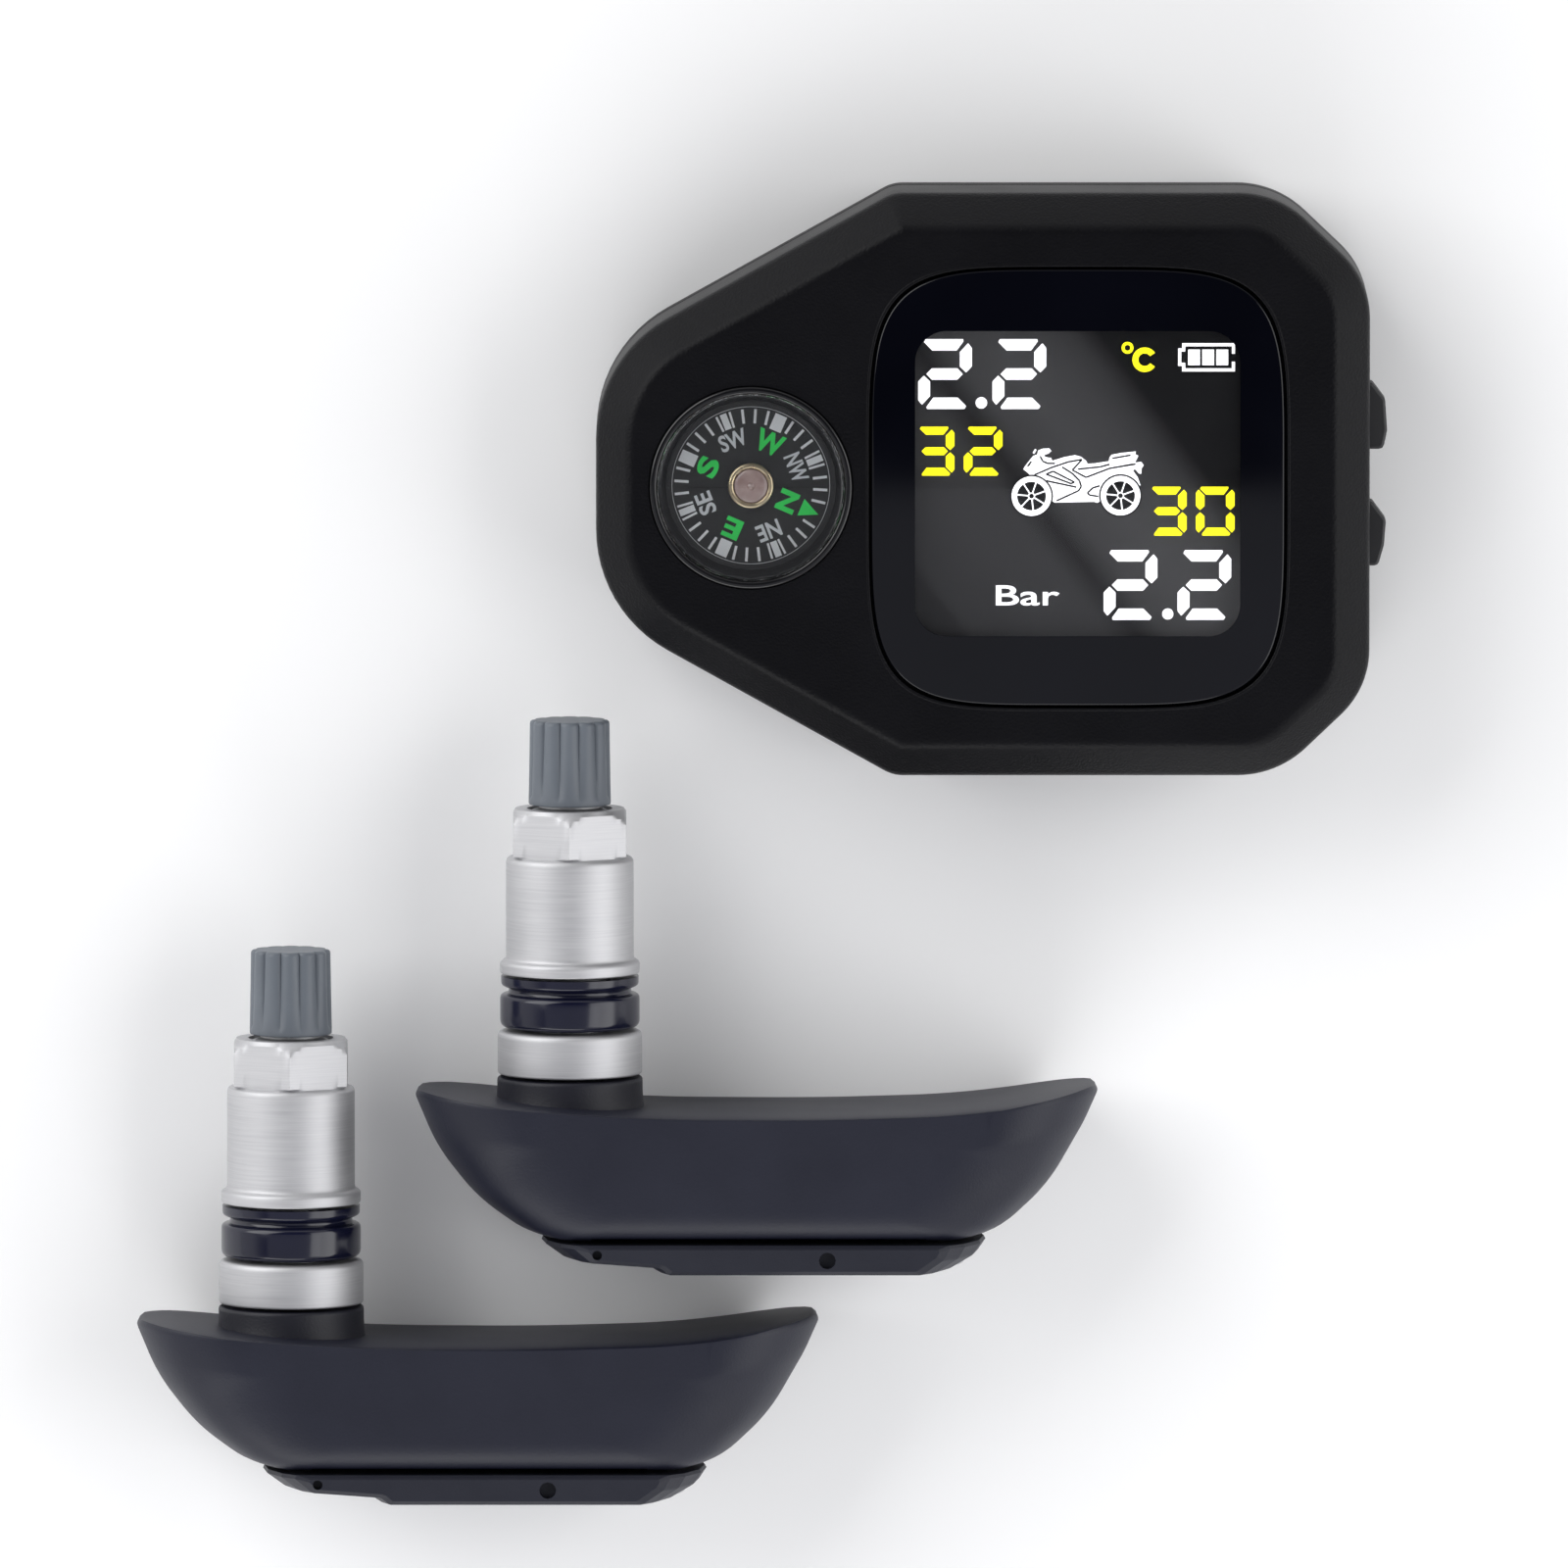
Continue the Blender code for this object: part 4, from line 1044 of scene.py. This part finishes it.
def finish_nodes():
    """A material for every CAD node that no piece stands in for."""
    steel = metal("plated_steel", (0.50, 0.50, 0.52), (0.62, 0.62, 0.63), (0.25, 0.4), EVEN, 900.0)
    brass = metal("valve_brass", (0.58, 0.40, 0.16), (0.72, 0.52, 0.24), (0.22, 0.36))
    wire = metal("coil_wire", (0.60, 0.34, 0.14), (0.72, 0.44, 0.20), (0.2, 0.32), EVEN, 900.0)
    foil = metal("cell_foil", (0.45, 0.46, 0.48), (0.58, 0.59, 0.61), (0.3, 0.45), EVEN, 240.0, 0.00003)
    soft = moulded(
        "soft_rubber", (0.009, 0.009, 0.010), (0.015, 0.015, 0.016), (0.6, 0.75), 2600.0, 0.00003
    )
    foam = moulded(
        "pad_foam", (0.020, 0.020, 0.021), (0.034, 0.034, 0.036), (0.8, 0.95), 1700.0, 0.00012
    )
    black = moulded("inner_black", (0.008, 0.008, 0.009), (0.013, 0.013, 0.014), (0.4, 0.55))
    white = moulded("inner_white", (0.62, 0.62, 0.60), (0.72, 0.72, 0.70), (0.4, 0.5))
    board = moulded("board_green", (0.006, 0.05, 0.022), (0.012, 0.085, 0.036), (0.3, 0.45), 900.0)
    film = moulded("flex_film", (0.30, 0.12, 0.02), (0.42, 0.18, 0.04), (0.3, 0.4), 1400.0)
    guide = clear("guide_acrylic", (0.93, 0.95, 0.96))
    red = moulded("plunger_red", (0.25, 0.02, 0.015), (0.36, 0.03, 0.02), (0.35, 0.5))
    magnet = metal("magnet_nickel", (0.22, 0.22, 0.24), (0.34, 0.34, 0.36), (0.3, 0.45), EVEN, 700.0)
    chosen = {
        "housing_seal": soft, "port_plug": soft, "compass_seal": soft, "mounting_pad": foam,
        "lens_tape": black, "buzzer": black, "switch_upper": black, "switch_lower": black,
        "compass_cup": RIM_BLACK, "compass_card": DIAL_BLACK, "compass_magnet": magnet,
        "compass_pin": steel, "lcd_panel": screen_material(),
        "light_guide": guide, "lcd_frame": white, "lcd_ribbon": film, "circuit_board": board,
        "antenna_coil": wire, "battery_cell": foil, "usb_socket": steel, "button_upper": BUTTON,
        "button_lower": BUTTON, "plunger_upper": red, "plunger_lower": red,
    }
    for i in range(1, 5):
        chosen["case_screw_" + str(i)] = steel
    for i in range(1, 3):
        chosen["board_screw_" + str(i)] = steel
    for tag in ("a", "b"):
        chosen["sensor_cover_" + tag] = COVER
        chosen["cover_screw_" + tag] = steel
        chosen["sensor_board_" + tag] = board
        chosen["coin_cell_" + tag] = steel
        chosen["stem_screw_" + tag] = steel
        chosen["valve_core_" + tag] = brass
        chosen["core_pin_" + tag] = brass
    for name, material in chosen.items():
        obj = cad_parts[name]
        obj.data.materials.clear()
        obj.data.materials.append(material)
        smooth(obj, 32.0)


# ---------------------------------------------------------------- studio

def area(name, place, target, size, power, colour=(1.0, 1.0, 1.0)):
    """Panel light of a size in metres and a power in watts, pointed at a target."""
    light = bpy.data.lights.new(name, "AREA")
    light.shape = "RECTANGLE"
    light.size, light.size_y = size
    light.energy = power
    light.color = colour
    obj = bpy.data.objects.new(name, light)
    obj.location = place
    obj.rotation_euler = (Vector(target) - Vector(place)).to_track_quat("-Z", "Y").to_euler()
    bpy.context.scene.collection.objects.link(obj)


def make_studio():
    """Pale floor, a surround that is bright near the horizon and dark overhead, and four panels."""
    floor_mesh = bpy.data.meshes.new("floor")
    half = 3.0
    corners = [(-half, -half, 0.0), (half, -half, 0.0), (half, half, 0.0), (-half, half, 0.0)]
    floor_mesh.from_pydata(corners, [], [(0, 1, 2, 3)])
    floor = bpy.data.objects.new("floor", floor_mesh)
    bpy.context.scene.collection.objects.link(floor)
    material, tree, shader = shader_of("floor_paper")
    slow = noise(tree, 6.0, 2.0)
    paper = tones(tree, slow, [(0.3, (0.93, 0.93, 0.93)), (0.7, (0.95, 0.95, 0.95))])
    tree.links.new(paper, shader.inputs["Base Color"])
    shader.inputs["Roughness"].default_value = 0.9
    shader.inputs["Specular IOR Level"].default_value = 0.1
    floor_mesh.materials.append(material)

    world = bpy.data.worlds.new("studio")
    bpy.context.scene.world = world
    world.use_nodes = True
    tree = world.node_tree
    back = tree.nodes["Background"]
    place = tree.nodes.new("ShaderNodeTexCoord")
    split = tree.nodes.new("ShaderNodeSeparateXYZ")
    tree.links.new(place.outputs["Generated"], split.inputs["Vector"])
    stops = [
        (0.0, (0.90, 0.90, 0.90)),
        (0.40, (0.80, 0.80, 0.81)),
        (0.62, (0.32, 0.32, 0.33)),
        (0.80, (0.040, 0.041, 0.048)),
        (1.0, (0.014, 0.015, 0.019)),
    ]
    tree.links.new(tones(tree, split.outputs["Z"], stops), back.inputs["Color"])
    back.inputs["Strength"].default_value = 1.0

    area("key", (-0.95, 0.66, 0.70), (0.0, -0.02, 0.0), (1.3, 1.1), 13.5)
    area("fill", (1.05, -0.10, 0.74), (0.0, -0.03, 0.0), (1.3, 1.1), 9.5)
    area("low", (-0.30, -1.15, 0.60), (0.0, -0.03, 0.0), (1.4, 0.6), 7.5)
    area("card", (0.02, -0.288, 0.46), (0.02, -0.288, 0.0), (0.9, 0.5), 0.72, (0.93, 0.94, 1.0))


def make_camera():
    camera = bpy.data.cameras.new("camera")
    camera.sensor_width = 36.0
    camera.lens = CAMERA_LENS
    camera.clip_start = 0.01
    obj = bpy.data.objects.new("camera", camera)
    low, high = cad_box
    middle = Vector((
        (low[0] + high[0]) / 2 + CAMERA_AIM[0],
        (low[1] + high[1]) / 2 + CAMERA_AIM[1],
        CAMERA_HEIGHT,
    ))
    tilt = math.radians(CAMERA_TILT)
    obj.location = middle + Vector((0.0, math.sin(tilt) * CAMERA_REACH, math.cos(tilt) * CAMERA_REACH))
    obj.rotation_euler = (-tilt, 0.0, 0.0)
    bpy.context.scene.collection.objects.link(obj)
    bpy.context.scene.camera = obj


make_case()
make_lens()
make_readout()
make_dial()
make_capsule()
make_sensor("a")
make_sensor("b")
finish_nodes()
make_studio()
make_camera()

bpy.context.scene.view_settings.view_transform = "Standard"
bpy.context.view_layer.update()
